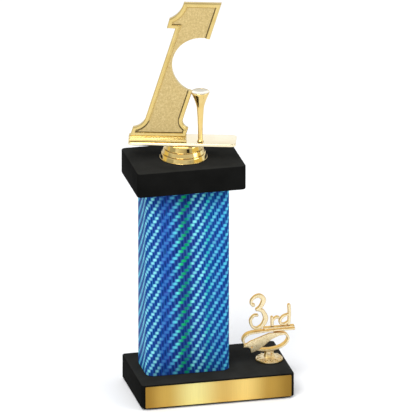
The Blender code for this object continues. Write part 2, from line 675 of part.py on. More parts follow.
# ---- trim ------------------------------------------------------------------------------------
def make_trim_foot(axis):
    """A domed disc with an arched neck that carries the ribbon, and a blind hole for the screw."""
    profile = [(0.0, FOOT_DOME), (FOOT_HUB_RADIUS, FOOT_DOME)]
    steps = 4
    for i in range(1, steps + 1):
        t = i / steps
        profile.append((FOOT_HUB_RADIUS + (FOOT_RADIUS - FOOT_HUB_RADIUS) * t,
                        FOOT_DOME - (FOOT_DOME - FOOT_RIM) * t**2))
    profile += [(FOOT_RADIUS, 0.0), (0.0, 0.0)]
    foot = turned("trim_foot", profile, closed=False, sides=32)
    place(foot, satin_gold("trim foot gold"), parent=axis)
    top = BAND_BOTTOM - GAP
    side = [(NECK_HALF_BOTTOM + (NECK_HALF_TOP - NECK_HALF_BOTTOM) * math.sin(t * math.pi / 2),
             FOOT_DOME / 2 + (top - FOOT_DOME / 2) * t) for t in (0.0, 0.35, 0.7, 1.0)]
    outline = side + [(-x, z) for x, z in reversed(side)]
    neck = upright_outline("trim neck", outline, NECK_THICKNESS)
    neck.parent = axis
    combine(foot, neck, "UNION")
    hole = rounded_box("trim neck hole", 2 * NECK_HOLE_HALF_WIDTH, 2 * NECK_THICKNESS,
                       NECK_HOLE_TOP - NECK_HOLE_BOTTOM, NECK_HOLE_HALF_WIDTH / 4, 0.0)
    hole.location = (0.0, 0.0, NECK_HOLE_BOTTOM)
    hole.parent = axis
    combine(foot, hole, "DIFFERENCE")
    screw_hole = cylinder("trim foot screw hole", TRIM_HOLE_RADIUS, -GAP,
                          TRIM_SCREW_ENGAGEMENT + GAP, SMALL_ROUND_SIDES)
    screw_hole.parent = axis
    combine(foot, screw_hole, "DIFFERENCE")


def make_trim_ribbon(axis):
    """A band seen edge-on that loops left, runs over the neck, loops right and folds to a tail."""
    low = BAND_BOTTOM + BAND_THICKNESS / 2
    high = BAND_TOP - BAND_THICKNESS / 2
    band = [
        (BAR_RIGHT, high, BAND_THICKNESS),
        (0.0060, high, BAND_THICKNESS),
        (-0.0070, high - 0.0004, BAND_THICKNESS),
        (-0.0170, high - 0.0014, BAND_THICKNESS),
        (-0.0215, high - 0.0048, BAND_THICKNESS),
        (-0.0215, low + 0.0078, BAND_THICKNESS),
        (-0.0175, low + 0.0040, BAND_THICKNESS),
        (-0.0090, low + 0.0009, BAND_THICKNESS),
        (0.0000, low, BAND_THICKNESS),
        (0.0075, low + 0.0012, BAND_THICKNESS),
        (0.0128, low + 0.0040, BAND_THICKNESS),
        (0.0155, low + 0.0083, BAND_THICKNESS),
        (0.0140, low + 0.0120, BAND_THICKNESS),
        (0.0095, low + 0.0140, BAND_THICKNESS),
        (0.0040, low + 0.0143, BAND_THICKNESS),
    ]
    ribbon = upright_outline("trim_ribbon", stroke_outline(band, False, False), BAND_DEPTH)
    place(ribbon, satin_gold("trim ribbon gold"), parent=axis)
    bar = rounded_box("trim bar", BAR_RIGHT - BAR_LEFT, BAR_DEPTH, BAR_TOP - high,
                      BAND_THICKNESS / 3, 0.0)
    bar.location = ((BAR_LEFT + BAR_RIGHT) / 2, (BAND_DEPTH - BAR_DEPTH) / 2 + BAR_STEP, high)
    bar.parent = axis
    combine(ribbon, bar, "UNION")
    tail = [
        (0.0125, low + 0.0142), (0.0050, low + 0.0150), (-0.0007, low + 0.0150),
        (-0.0169, low + 0.0093), (-0.0218, low + 0.0060), (-0.0220, low + 0.0043),
        (-0.0185, low + 0.0040), (-0.0169, low + 0.0034), (-0.0157, low - 0.0012),
        (-0.0100, low + 0.0012), (-0.0045, low + 0.0048), (0.0013, low + 0.0094),
        (0.0075, low + 0.0121), (0.0120, low + 0.0127),
    ]
    flap = upright_outline("trim tail", tail, TAIL_THICKNESS)
    flap.location = (0.0, -BAND_DEPTH / 2 - TAIL_PROUD + TAIL_THICKNESS / 2, 0.0)
    flap.parent = axis
    combine(ribbon, flap, "UNION")
    hole = cylinder("trim tail hole", TAIL_HOLE_RADIUS, -BAND_DEPTH, BAND_DEPTH, 12)
    hole.rotation_euler = (math.pi / 2, 0.0, 0.0)
    hole.location = (-0.0153, -BAND_DEPTH, low + 0.0040)
    hole.parent = axis
    combine(ribbon, hole, "DIFFERENCE")


def make_trim_numeral(axis):
    """Two strokes, joined at the waist: the upper bowl with its ball, and the lower with its hook."""
    foot = BAND_TOP + GAP
    upper = [
        (-0.0135, foot + 0.0218, 0.0030), (-0.0153, foot + 0.0232, 0.0020),
        (-0.0148, foot + 0.0263, 0.0022), (-0.0120, foot + 0.0288, 0.0026),
        (-0.0082, foot + 0.0294, 0.0034), (-0.0050, foot + 0.0262, 0.0040),
        (-0.0060, foot + 0.0222, 0.0036), (-0.0080, foot + 0.0193, 0.0030),
        (-0.0104, foot + 0.0176, 0.0026),
    ]
    lower = [
        (-0.0100, foot + 0.0177, 0.0024), (-0.0060, foot + 0.0160, 0.0032),
        (-0.0033, foot + 0.0105, 0.0040), (-0.0042, foot + 0.0060, 0.0038),
        (-0.0068, foot + 0.0028, 0.0032), (-0.0107, foot + 0.0013, 0.0024),
        (-0.0142, foot + 0.0030, 0.0022), (-0.0158, foot + 0.0075, 0.0023),
        (-0.0150, foot + 0.0104, 0.0022), (-0.0128, foot + 0.0126, 0.0020),
        (-0.0103, foot + 0.0127, 0.0022),
    ]
    numeral = upright_outline("trim_numeral_3", stroke_outline(upper), LETTER_THICKNESS)
    place(numeral, satin_gold("trim numeral gold"), parent=axis)
    bowl = upright_outline("numeral lower bowl", stroke_outline(lower), LETTER_THICKNESS - MERGE)
    bowl.parent = axis
    combine(numeral, bowl, "UNION")


def make_trim_letter(axis, name, strokes, finish):
    """A letter of one stem and one bowed stroke, standing on the ribbon's bar."""
    stem, bowed = strokes
    letter = upright_outline(name, stroke_outline(stem, round_start=False), LETTER_THICKNESS)
    place(letter, finish, (0.0, LETTER_Y, 0.0), axis)
    arm = upright_outline(f"{name} bowed stroke", stroke_outline(bowed), LETTER_THICKNESS - MERGE)
    arm.location = (0.0, LETTER_Y, 0.0)
    arm.parent = axis
    combine(letter, arm, "UNION")


def make_trim_letters(axis):
    foot = BAR_TOP + GAP
    r_strokes = (
        [(0.0025, foot, 0.0024), (0.0025, foot + 0.0040, 0.0024), (0.0023, foot + 0.0078, 0.0022)],
        [(0.0028, foot + 0.0050, 0.0018), (0.0045, foot + 0.0068, 0.0018),
         (0.0062, foot + 0.0077, 0.0019), (0.0077, foot + 0.0073, 0.0022)],
    )
    d_strokes = (
        [(0.0162, foot, 0.0023), (0.0168, foot + 0.0090, 0.0024), (0.0165, foot + 0.0172, 0.0026)],
        [(0.0163, foot + 0.0094, 0.0018), (0.0123, foot + 0.0083, 0.0019),
         (0.0095, foot + 0.0057, 0.0021), (0.0091, foot + 0.0028, 0.0021),
         (0.0110, foot + 0.0012, 0.0020), (0.0138, foot + 0.0016, 0.0018),
         (0.0162, foot + 0.0034, 0.0018)],
    )
    make_trim_letter(axis, "trim_letter_r", r_strokes, satin_gold("trim letter r gold"))
    make_trim_letter(axis, "trim_letter_d", d_strokes, satin_gold("trim letter d gold"))


def make_trim_screw():
    """The screw and its washer hang from their pocket's roof and reach up into the trim's foot."""
    axis = (TRIM_X, TRIM_Y)
    washer_bottom = TRIM_POCKET_TOP - GAP - TRIM_WASHER_THICKNESS
    head_top = washer_bottom - GAP
    head_bottom = head_top - TRIM_SCREW_HEAD_HEIGHT
    radius = TRIM_SCREW_DIAMETER / 2
    head = TRIM_SCREW_HEAD_DIAMETER / 2
    screw_top = TRIM_BOTTOM + TRIM_SCREW_ENGAGEMENT
    screw = turned("trim_screw", [
        (0.0, screw_top),
        (radius * 0.7, screw_top),
        (radius, screw_top - radius / 2),
        (radius, head_top),
        (head, head_top),
        (head, head_bottom + TRIM_SCREW_HEAD_HEIGHT / 3),
        (head * 0.8, head_bottom),
        (0.0, head_bottom),
    ], closed=False, sides=SMALL_ROUND_SIDES)
    place(screw, zinc("trim screw zinc"), (*axis, 0.0))
    washer = ring("trim_washer", TRIM_WASHER_DIAMETER / 2, TRIM_HOLE_RADIUS, TRIM_WASHER_THICKNESS)
    place(washer, zinc("trim washer zinc"), (*axis, washer_bottom))


# ---- whole -----------------------------------------------------------------------------------
def make_stand():
    make_base()
    make_felt()
    make_nameplate()
    make_column()
    make_plugs()
    make_lid()
    make_tie_rod()
    make_trim_screw()


def make_figure():
    axis = pivot("figure_axis", (COLUMN_X, 0.0, FIGURE_BOTTOM), FIGURE_TURN)
    make_riser(axis)
    make_insert(axis)
    make_figure_plate(axis)
    make_number(axis)
    make_tee(axis)


def make_trim():
    axis = pivot("trim_axis", (TRIM_X, TRIM_Y, TRIM_BOTTOM))
    make_trim_foot(axis)
    make_trim_ribbon(axis)
    make_trim_numeral(axis)
    make_trim_letters(axis)


make_stand()
make_figure()
make_trim()
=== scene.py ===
import json
import math

import bmesh
import bpy
from mathutils import Matrix, Vector


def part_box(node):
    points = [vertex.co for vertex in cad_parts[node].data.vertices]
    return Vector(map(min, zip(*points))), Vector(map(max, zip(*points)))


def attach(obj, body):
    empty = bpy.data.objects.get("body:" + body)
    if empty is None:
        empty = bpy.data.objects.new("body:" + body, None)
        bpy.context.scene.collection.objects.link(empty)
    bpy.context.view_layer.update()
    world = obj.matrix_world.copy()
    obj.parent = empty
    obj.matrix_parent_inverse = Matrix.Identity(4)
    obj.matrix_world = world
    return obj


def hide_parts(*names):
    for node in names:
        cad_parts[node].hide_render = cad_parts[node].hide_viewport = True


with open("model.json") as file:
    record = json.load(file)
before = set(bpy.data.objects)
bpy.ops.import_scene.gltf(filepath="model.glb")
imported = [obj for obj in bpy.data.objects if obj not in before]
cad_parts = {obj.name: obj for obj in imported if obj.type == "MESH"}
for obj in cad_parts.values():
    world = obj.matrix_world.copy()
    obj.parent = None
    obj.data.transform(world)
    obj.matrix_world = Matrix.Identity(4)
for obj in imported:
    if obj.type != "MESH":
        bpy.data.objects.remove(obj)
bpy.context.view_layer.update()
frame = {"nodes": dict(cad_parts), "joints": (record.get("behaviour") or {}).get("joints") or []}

weld = 0.00001
gap = 0.0003  # what pieces that touch keep between them
past = 0.001  # how far a cutter runs past what it cuts
joints = {joint["name"]: Vector(joint["pos_m"]) for joint in frame["joints"]}
rodAxis = joints["figure_turn"]
trimAxis = joints["trim_turn"]
figureTurn = math.radians(-16.0)  # the way the figure faces while the rod is tight
figurePlace = Matrix.Translation(rodAxis) @ Matrix.Rotation(figureTurn, 4, "Z")
trimPlace = Matrix.Translation(trimAxis)
standing = Matrix.Rotation(math.pi / 2, 4, "X")  # lifts the XY plane upright


def at(x, y, z):
    return Matrix.Translation((x, y, z))


# shader helpers

def newFinish(name):
    finish = bpy.data.materials.new(name)
    finish.use_nodes = True
    return finish, finish.node_tree


def plug(tree, socket, value):
    if isinstance(value, bpy.types.NodeSocket):
        tree.links.new(value, socket)
    else:
        socket.default_value = value


def addNode(tree, kind, inputs=None, prefix="ShaderNode", **settings):
    node = tree.nodes.new(prefix + kind)
    for key, value in settings.items():
        setattr(node, key, value)
    for key, value in (inputs or {}).items():
        plug(tree, node.inputs[key], value)
    return node


def calc(tree, operation, *values):
    node = addNode(tree, "Math", operation=operation)
    for socket, value in zip(node.inputs, values):
        plug(tree, socket, value)
    return node.outputs[0]


def mixed(tree, factor, first, second, blend="MIX"):
    # a colour Mix node keeps its factor in socket 0 and its colours in 6 and 7
    node = addNode(tree, "Mix", {0: factor, 6: first, 7: second}, data_type="RGBA", blend_type=blend)
    return node.outputs[2]


def ramp(tree, factor, stops, interpolation="LINEAR"):
    node = addNode(tree, "ValToRGB", {0: factor})
    band = node.color_ramp
    band.interpolation = interpolation
    while len(band.elements) > 1:
        band.elements.remove(band.elements[-1])
    band.elements[0].position = stops[0][0]
    band.elements[0].color = (*stops[0][1], 1.0)
    for position, colour in stops[1:]:
        band.elements.new(position).color = (*colour, 1.0)
    return node.outputs[0]


def twoTone(tree, factor, low, high):
    return ramp(tree, factor, [(0.3, low), (0.7, high)])


def place3d(tree, scale=(1.0, 1.0, 1.0)):
    coordinates = addNode(tree, "TexCoord").outputs["Object"]
    return addNode(tree, "Mapping", {"Vector": coordinates, "Scale": scale}).outputs[0]


def grain(tree, where, scale, detail=3.0, rough=0.55):
    return addNode(tree, "TexNoise", {"Vector": where, "Scale": scale, "Detail": detail,
                                      "Roughness": rough}).outputs[0]


def spread(tree, value, low, high):
    # 0 to 1 becomes low to high
    return addNode(tree, "MapRange", {"Value": value, "To Min": low, "To Max": high}).outputs[0]


def between(tree, value, low, high):
    # low to high becomes 0 to 1
    return addNode(tree, "MapRange", {"Value": value, "From Min": low, "From Max": high}).outputs[0]


def bump(tree, height, distance, strength=1.0):
    return addNode(tree, "Bump", {"Height": height, "Distance": distance,
                                  "Strength": strength}).outputs[0]


socketNames = {"specular": "Specular IOR Level", "metallic": "Metallic", "sheen": "Sheen Weight",
               "anisotropic": "Anisotropic"}


def surfaced(finish, colour, rough, normal=None, **values):
    tree = finish.node_tree
    sockets = tree.nodes["Principled BSDF"].inputs
    plug(tree, sockets["Base Color"], colour)
    plug(tree, sockets["Roughness"], rough)
    if normal is not None:
        plug(tree, sockets["Normal"], normal)
    for key, value in values.items():
        sockets[socketNames[key]].default_value = value
    return finish


# finishes

# the paint's own dark and light tones, then the lighter tones of the painted highlight on faces that
# look up, then the sizes of its grain
blackPaint = {"dark": (0.0050, 0.0050, 0.0047), "light": (0.0078, 0.0078, 0.0074),
              "litTopDark": (0.017, 0.017, 0.0155), "litTopLight": (0.026, 0.026, 0.024),
              "patchSize": 38.0, "peelSize": 900.0}


def makeBlackPaint(name):
    paint = blackPaint
    finish, tree = newFinish(name)
    where = place3d(tree)
    patches = grain(tree, where, paint["patchSize"], 5.0)
    peel = grain(tree, where, paint["peelSize"], 2.0)
    side = ramp(tree, patches, [(0.35, paint["dark"]), (0.65, paint["light"])])
    # the faces that look up are painted a little lighter, a painted highlight of the light from above
    litTop = ramp(tree, patches, [(0.35, paint["litTopDark"]), (0.65, paint["litTopLight"])])
    facing = addNode(tree, "SeparateXYZ", {0: addNode(tree, "NewGeometry").outputs["Normal"]})
    upward = between(tree, facing.outputs[2], 0.55, 0.98)
    rough = calc(tree, "ADD", spread(tree, patches, 0.42, 0.56), spread(tree, peel, -0.04, 0.04))
    return surfaced(finish, mixed(tree, upward, side, litTop), rough,
                    bump(tree, peel, 0.00008, 0.35), specular=0.001)


gold = {"mid": (0.66, 0.47, 0.16), "pale": (0.74, 0.56, 0.23)}
paleGold = {"mid": (0.76, 0.65, 0.43), "pale": (0.82, 0.74, 0.53)}
# a paler gold, painted as a highlight inside the tee's cup
hollowHighlight = {"mid": (0.90, 0.84, 0.68), "pale": (0.94, 0.89, 0.76)}
rimGold = {"mid": (0.58, 0.43, 0.15), "pale": (0.66, 0.51, 0.21)}


def makePolishedGold(name, rough=0.13, patchSize=90.0, tones=gold):
    finish, tree = newFinish(name)
    where = place3d(tree)
    cloud = grain(tree, where, patchSize, 3.0)
    fine = grain(tree, where, 1400.0, 2.0)
    relief = addNode(tree, "Bump", {"Height": fine, "Distance": 0.00002, "Strength": 0.3,
                                    "Normal": bump(tree, cloud, 0.0004, 0.25)})
    return surfaced(finish, twoTone(tree, cloud, tones["mid"], tones["pale"]),
                    spread(tree, cloud, rough * 0.7, rough * 1.4), relief.outputs[0], metallic=1.0)


def makeGrooveShade(name):
    # the painted shade, a dark gold, that lies in the moulding's lower corners
    finish, tree = newFinish(name)
    cloud = grain(tree, place3d(tree), 500.0, 3.0)
    return surfaced(finish, twoTone(tree, cloud, (0.10, 0.075, 0.035), (0.26, 0.19, 0.08)),
                    spread(tree, cloud, 0.35, 0.55), bump(tree, cloud, 0.0001, 0.3), metallic=1.0)


def makeSandedGold(name):
    finish, tree = newFinish(name)
    where = place3d(tree)
    coarse = grain(tree, where, 700.0, 2.0, 0.6)
    fine = grain(tree, where, 1900.0, 2.0, 0.6)
    sand = calc(tree, "ADD", calc(tree, "MULTIPLY", coarse, 0.5), calc(tree, "MULTIPLY", fine, 0.5))
    colour = ramp(tree, sand, [(0.34, (0.455, 0.335, 0.14)), (0.50, (0.585, 0.445, 0.195)),
                               (0.66, (0.715, 0.585, 0.31))])
    return surfaced(finish, colour, spread(tree, fine, 0.38, 0.62), bump(tree, sand, 0.0004, 0.6),
                    metallic=1.0)


# the first two tones paint a pale highlight on the faces toward front and back, over the frost grain;
# the bare tones are the gold's own deep colour; edge is the painted brown shade on the rounded edges
satinGold = {"gleamLow": (0.60, 0.45, 0.20), "gleamHigh": (0.92, 0.79, 0.52),
             "bareLow": (0.74, 0.43, 0.07), "bareHigh": (0.84, 0.55, 0.14),
             "edge": (0.34, 0.22, 0.07, 1.0)}


def makeSatinGold(name, tops=0.0):
    # the fronts and backs are painted pale over the frost grain, a painted highlight; their rounded
    # edges get a painted brown shade, the sides keep the bare deep gold;
    # tops says how far the faces that look up get the pale painted highlight too
    finish, tree = newFinish(name)
    where = place3d(tree)
    cloud = grain(tree, where, 160.0, 3.0)
    frost = grain(tree, where, 1500.0, 3.0, 0.65)
    normal = addNode(tree, "VectorTransform", {0: addNode(tree, "NewGeometry").outputs["Normal"]},
                     vector_type="NORMAL", convert_from="WORLD", convert_to="OBJECT")
    split = addNode(tree, "SeparateXYZ", {0: normal.outputs[0]})
    front = calc(tree, "MAXIMUM", calc(tree, "ABSOLUTE", split.outputs[1]),
                 calc(tree, "MULTIPLY", split.outputs[2], tops))
    bare = twoTone(tree, cloud, satinGold["bareLow"], satinGold["bareHigh"])
    frontGleam = ramp(tree, frost, [(0.34, satinGold["gleamLow"]), (0.56, satinGold["gleamHigh"])])
    edgeShade = mixed(tree, between(tree, front, 0.20, 0.45), bare, satinGold["edge"])
    return surfaced(finish, mixed(tree, between(tree, front, 0.78, 0.94), edgeShade, frontGleam),
                    spread(tree, frost, 0.30, 0.52), bump(tree, frost, 0.00014, 0.6), metallic=1.0)


def makeBrushedPlate(name, low, high):
    # painted bands of reflected shine run across the plate, from its left end at low to its right end
    # at high
    finish, tree = newFinish(name)
    coordinates = addNode(tree, "TexCoord").outputs["Object"]
    along = addNode(tree, "SeparateXYZ", {0: coordinates}).outputs[0]
    paintedShine = ramp(tree, between(tree, along, low, high), [
        (0.0, (0.33, 0.18, 0.027)), (0.14, (0.55, 0.35, 0.075)), (0.34, (0.82, 0.72, 0.28)),
        (0.54, (0.65, 0.43, 0.12)), (0.68, (0.83, 0.59, 0.18)), (0.86, (0.45, 0.27, 0.052)),
        (1.0, (0.28, 0.155, 0.024))], "EASE")
    lines = grain(tree, place3d(tree, (4000.0, 60.0, 60.0)), 1.0, 3.0, 0.7)
    brushed = twoTone(tree, lines, (0.5, 0.5, 0.5), (1.0, 1.0, 1.0))
    return surfaced(finish, mixed(tree, 0.2, paintedShine, brushed, "MULTIPLY"),
                    spread(tree, lines, 0.24, 0.42), bump(tree, lines, 0.00003, 0.3),
                    metallic=0.9, anisotropic=0.5)


film = {"cellsRound": 100, "cellHigh": 0.00277, "sway": 0.8, "hairs": (1500.0, 70.0, 1.0),
        "navy": (0.003, 0.022, 0.13, 1.0), "tint": (0.95, 0.90, 0.86, 1.0)}


def printed(tree, factor, stops):
    # a ramp of colours written as screens show them
    return ramp(tree, factor, [(stop[0], tuple((value / 255.0) ** 2.2 for value in stop[1:]))
                               for stop in stops])


def makeTwillFilm(name, around):
    finish, tree = newFinish(name)

    def step(operation, *values):
        return calc(tree, operation, *values)

    uv = addNode(tree, "UVMap", uv_map="wrap").outputs[0]
    split = addNode(tree, "SeparateXYZ", {0: uv})
    along, up = split.outputs[0], split.outputs[1]
    share = step("FRACT", step("DIVIDE", along, around / 2))
    # the weave stretches over the middle of a face and draws together at its ends
    swing = step("MULTIPLY", step("SUBTRACT", share, 0.25), 4.0 * math.pi)
    swing = step("MULTIPLY", step("SINE", swing), film["sway"])
    across = step("DIVIDE", along, around / film["cellsRound"])
    across = step("SUBTRACT", across, swing)
    rise = step("DIVIDE", up, film["cellHigh"])
    column, row = step("FLOOR", across), step("FLOOR", rise)
    inX, inY = step("FRACT", across), step("FRACT", rise)
    # a cell's place in the twill: 0 and 1 run upright, 2 and 3 run level
    place = step("FLOORED_MODULO", step("SUBTRACT", column, row), 4.0)
    level = step("GREATER_THAN", place, 1.5)
    second = step("GREATER_THAN", place, 2.5)
    alongLevel = step("MULTIPLY", step("ADD", inX, second), 0.5)
    first = step("LESS_THAN", place, 0.5)
    alongUpright = step("MULTIPLY", step("ADD", inY, first), 0.5)

    def dome(value, power):
        wave = step("SINE", step("MULTIPLY", value, math.pi))
        return step("POWER", step("MAXIMUM", wave, 0.0), power)

    # every level float is a little brighter or darker than the next
    floatStart = addNode(tree, "CombineXYZ", {0: step("SUBTRACT", column, second), 1: row})
    chance = addNode(tree, "TexWhiteNoise", {0: floatStart.outputs[0]}).outputs[0]
    # each level float carries a painted highlight, a dome brightest at its middle
    lit = step("MULTIPLY", step("MULTIPLY", dome(inY, 0.5), dome(alongLevel, 0.8)), level)
    lit = step("MULTIPLY", lit, spread(tree, chance, 0.7, 1.25))
    dark = step("MULTIPLY", dome(inX, 1.4), dome(alongUpright, 0.3))
    dark = step("MULTIPLY", dark, step("SUBTRACT", 1.0, level))
    # colours from the front left corner over the front to its right corner, then over a side: the
    # ground is the film's own blue with painted bands of reflection that darken and lighten it across
    # the face, and glow is the painted highlight colour on the level floats
    ground = printed(tree, share, [
        (0.0, 14, 85, 165), (0.065, 16, 72, 158), (0.131, 22, 62, 148), (0.183, 26, 55, 140),
        (0.242, 24, 42, 112), (0.286, 24, 40, 98), (0.325, 26, 44, 106), (0.360, 24, 58, 140),
        (0.419, 18, 74, 158), (0.522, 4, 84, 162), (0.574, 6, 76, 155), (0.640, 10, 78, 152),
        (0.85, 14, 82, 165), (1.0, 14, 85, 165)])
    glow = printed(tree, share, [
        (0.0, 130, 222, 232), (0.075, 128, 220, 232), (0.105, 65, 130, 195), (0.150, 55, 112, 185),
        (0.183, 75, 165, 215), (0.235, 95, 215, 225), (0.265, 35, 185, 110), (0.305, 5, 148, 86),
        (0.335, 35, 170, 140), (0.360, 120, 222, 230), (0.440, 124, 222, 232), (0.480, 40, 185, 180),
        (0.530, 95, 190, 216), (0.580, 72, 178, 218), (0.640, 85, 192, 224), (0.85, 115, 215, 230),
        (1.0, 130, 222, 232)])
    # fine upright hairs of navy, violet and pale blue run through the ground
    stretch = addNode(tree, "VectorMath", {0: uv, 1: film["hairs"]}, operation="MULTIPLY")
    hairs = addNode(tree, "TexNoise", {"Vector": stretch.outputs[0], "Scale": 1.0, "Detail": 2.0})
    hairColour = printed(tree, hairs.outputs[0], [
        (0.32, 2, 45, 120), (0.42, 10, 85, 165), (0.50, 75, 68, 160), (0.57, 14, 90, 172),
        (0.68, 80, 155, 210)])
    ground = mixed(tree, 0.5, ground, hairColour)
    colour = mixed(tree, step("MULTIPLY", dark, 0.85), ground, film["navy"])
    colour = mixed(tree, step("MINIMUM", lit, 1.0), colour, glow)
    relief = step("ADD", lit, step("MULTIPLY", dark, 0.6))
    return surfaced(finish, mixed(tree, 1.0, colour, film["tint"], "MULTIPLY"),
                    spread(tree, hairs.outputs[0], 0.34, 0.5), bump(tree, relief, 0.00005, 0.5),
                    specular=0.01)


def makeFelt(name):
    finish, tree = newFinish(name)
    where = place3d(tree)
    fibres = grain(tree, where, 1300.0, 5.0, 0.7)
    tufts = grain(tree, where, 260.0, 3.0)
    colour = twoTone(tree, fibres, (0.006, 0.006, 0.007), (0.035, 0.035, 0.038))
    return surfaced(finish, colour, spread(tree, tufts, 0.85, 1.0), bump(tree, fibres, 0.0004, 0.8),
                    specular=0.1, sheen=0.3)


def makeZincSteel(name):
    finish, tree = newFinish(name)
    cloud = grain(tree, place3d(tree), 240.0, 4.0)
    lathe = grain(tree, place3d(tree, (120.0, 120.0, 3000.0)), 1.0, 2.0)
    colour = twoTone(tree, cloud, (0.50, 0.51, 0.54), (0.72, 0.73, 0.74))
    return surfaced(finish, colour, spread(tree, cloud, 0.24, 0.42), bump(tree, lathe, 0.00004, 0.4),
                    metallic=1.0)


def makeTurnedBrass(name):
    finish, tree = newFinish(name)
    rings = grain(tree, place3d(tree, (90.0, 90.0, 4000.0)), 1.0, 2.0)
    colour = twoTone(tree, rings, (0.58, 0.38, 0.13), (0.80, 0.58, 0.26))
    return surfaced(finish, colour, spread(tree, rings, 0.22, 0.36), bump(tree, rings, 0.00005, 0.4),
                    metallic=1.0)


def makeRawWood(name):
    finish, tree = newFinish(name)
    fibres = grain(tree, place3d(tree, (40.0, 600.0, 600.0)), 1.0, 5.0, 0.65)
    rings = grain(tree, place3d(tree, (12.0, 120.0, 120.0)), 1.0, 3.0)
    tone = calc(tree, "ADD", calc(tree, "MULTIPLY", fibres, 0.5), calc(tree, "MULTIPLY", rings, 0.5))
    colour = ramp(tree, tone, [(0.35, (0.30, 0.18, 0.09)), (0.65, (0.56, 0.38, 0.21))])
    return surfaced(finish, colour, spread(tree, fibres, 0.6, 0.85), bump(tree, fibres, 0.0002, 0.5),
                    specular=0.3)


def makeFoamTape(name):
    finish, tree = newFinish(name)
    cells = addNode(tree, "TexVoronoi", {"Vector": place3d(tree), "Scale": 2200.0}).outputs[0]
    colour = ramp(tree, cells, [(0.0, (0.62, 0.60, 0.54)), (0.6, (0.80, 0.79, 0.74))])
    return surfaced(finish, colour, spread(tree, cells, 0.7, 0.9), bump(tree, cells, 0.0001, 0.5))


# mesh helpers

def linked(name, data):
    made = bpy.data.objects.new(name, data)
    bpy.context.scene.collection.objects.link(made)
    return made


def newMesh(name, bm, place=None):
    if place is not None:
        bmesh.ops.transform(bm, matrix=place, verts=bm.verts)
    mesh = bpy.data.meshes.new(name)
    bm.to_mesh(mesh)
    bm.free()
    return linked(name, mesh)


def dress(piece, *finishes):
    for finish in finishes:
        piece.data.materials.append(finish)


def settle(piece, body, nodes, finishes, sharp=32.0):
    # finished pieces shade smooth, with creases kept where faces meet steeply
    if finishes:
        piece.data.materials.clear()
    dress(piece, *finishes)
    piece.data.shade_smooth()
    piece.data.set_sharp_from_angle(angle=math.radians(sharp))
    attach(piece, body)
    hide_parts(*nodes)


def baked(piece):
    # the evaluated mesh of a piece, in a plain object of the same name at the origin
    bpy.context.view_layer.update()
    graph = bpy.context.evaluated_depsgraph_get()
    mesh = bpy.data.meshes.new_from_object(piece.evaluated_get(graph))
    mesh.transform(piece.matrix_world)
    name = piece.name
    bpy.data.objects.remove(piece, do_unlink=True)
    mesh.name = name
    return linked(name, mesh)


def welded(piece):
    bm = bmesh.new()
    bm.from_mesh(piece.data)
    bmesh.ops.remove_doubles(bm, verts=bm.verts, dist=weld)
    bmesh.ops.recalc_face_normals(bm, faces=bm.faces)
    bm.to_mesh(piece.data)
    bm.free()
    return piece


def combined(piece, steps):
    # steps are (operation, helper object); the helpers are used up
    for operation, helper in steps:
        change = piece.modifiers.new(operation.lower(), "BOOLEAN")
        change.operation = operation
        change.solver = "EXACT"
        change.object = helper
    result = baked(piece)
    for operation, helper in steps:
        bpy.data.objects.remove(helper, do_unlink=True)
    return result


def softBlock(name, length, depth, height, corner, edge, cornerSteps=8, edgeSteps=4, place=None):
    bm = bmesh.new()
    bmesh.ops.create_cube(bm, size=1.0)
    bmesh.ops.scale(bm, vec=(length, depth, height), verts=bm.verts)
    bmesh.ops.translate(bm, vec=(0.0, 0.0, height / 2), verts=bm.verts)
    bevel = {"profile": 0.5, "affect": "EDGES"}
    upright = [e for e in bm.edges if abs(e.verts[0].co.z - e.verts[1].co.z) > height / 2]
    bmesh.ops.bevel(bm, geom=upright, offset=corner, segments=cornerSteps, **bevel)
    if edge:
        level = [e for e in bm.edges if len({abs(f.normal.z) > 0.5 for f in e.link_faces}) == 2]
        bmesh.ops.bevel(bm, geom=level, offset=edge, segments=edgeSteps, **bevel)
    return newMesh(name, bm, place)


def rod(name, radius, bottom, top, place, sides=48):
    bm = bmesh.new()
    bmesh.ops.create_cone(bm, cap_ends=True, segments=sides, radius1=radius, radius2=radius,
                          depth=top - bottom)
    bmesh.ops.translate(bm, vec=(0.0, 0.0, (top + bottom) / 2), verts=bm.verts)
    return newMesh(name, bm, place)


def turned(name, profile, place, sides=96):
    # profile points are (radius, height), from the middle of the top down the outer side
    bm = bmesh.new()
    rings = []
    for radius, height in profile:
        if radius < weld:
            rings.append([bm.verts.new((0.0, 0.0, height))])
            continue
        rings.append([bm.verts.new((radius * math.cos(math.tau * i / sides),
                                    radius * math.sin(math.tau * i / sides), height))
                      for i in range(sides)])
    for upper, lower in zip(rings, rings[1:]):
        for i in range(sides):
            j = (i + 1) % sides
            if len(upper) == 1:
                bm.faces.new((upper[0], lower[i], lower[j]))
            elif len(lower) == 1:
                bm.faces.new((upper[i], lower[0], upper[j]))
            else:
                bm.faces.new((upper[i], lower[i], lower[j], upper[j]))
    return newMesh(name, bm, place)


def arc(x, y, wide, high, degrees):
    return [(x + wide * math.cos(math.radians(a)), y + high * math.sin(math.radians(a)))
            for a in degrees]


def hollowEdge(start, end, sag, steps):
    # the points between two corners, on a curve that sags in by sag at its middle
    run = Vector(end) - Vector(start)
    side = Vector((run.y, -run.x)).normalized()
    return [tuple(Vector(start) + run * (i / steps) + side * sag * 4 * (i / steps) * (1 - i / steps))
            for i in range(1, steps)]


def inset(points, distance):
    # a clockwise outline moved in by a distance
    moved = []
    for i, here in enumerate(points):
        here, before, after = Vector(here), Vector(points[i - 1]), Vector(points[(i + 1) % len(points)])
        first, second = (here - before).normalized(), (after - here).normalized()
        inward = Vector((first.y, -first.x)) + Vector((second.y, -second.x))
        moved.append(here + inward * distance / (1 + first.dot(second)))
    return moved


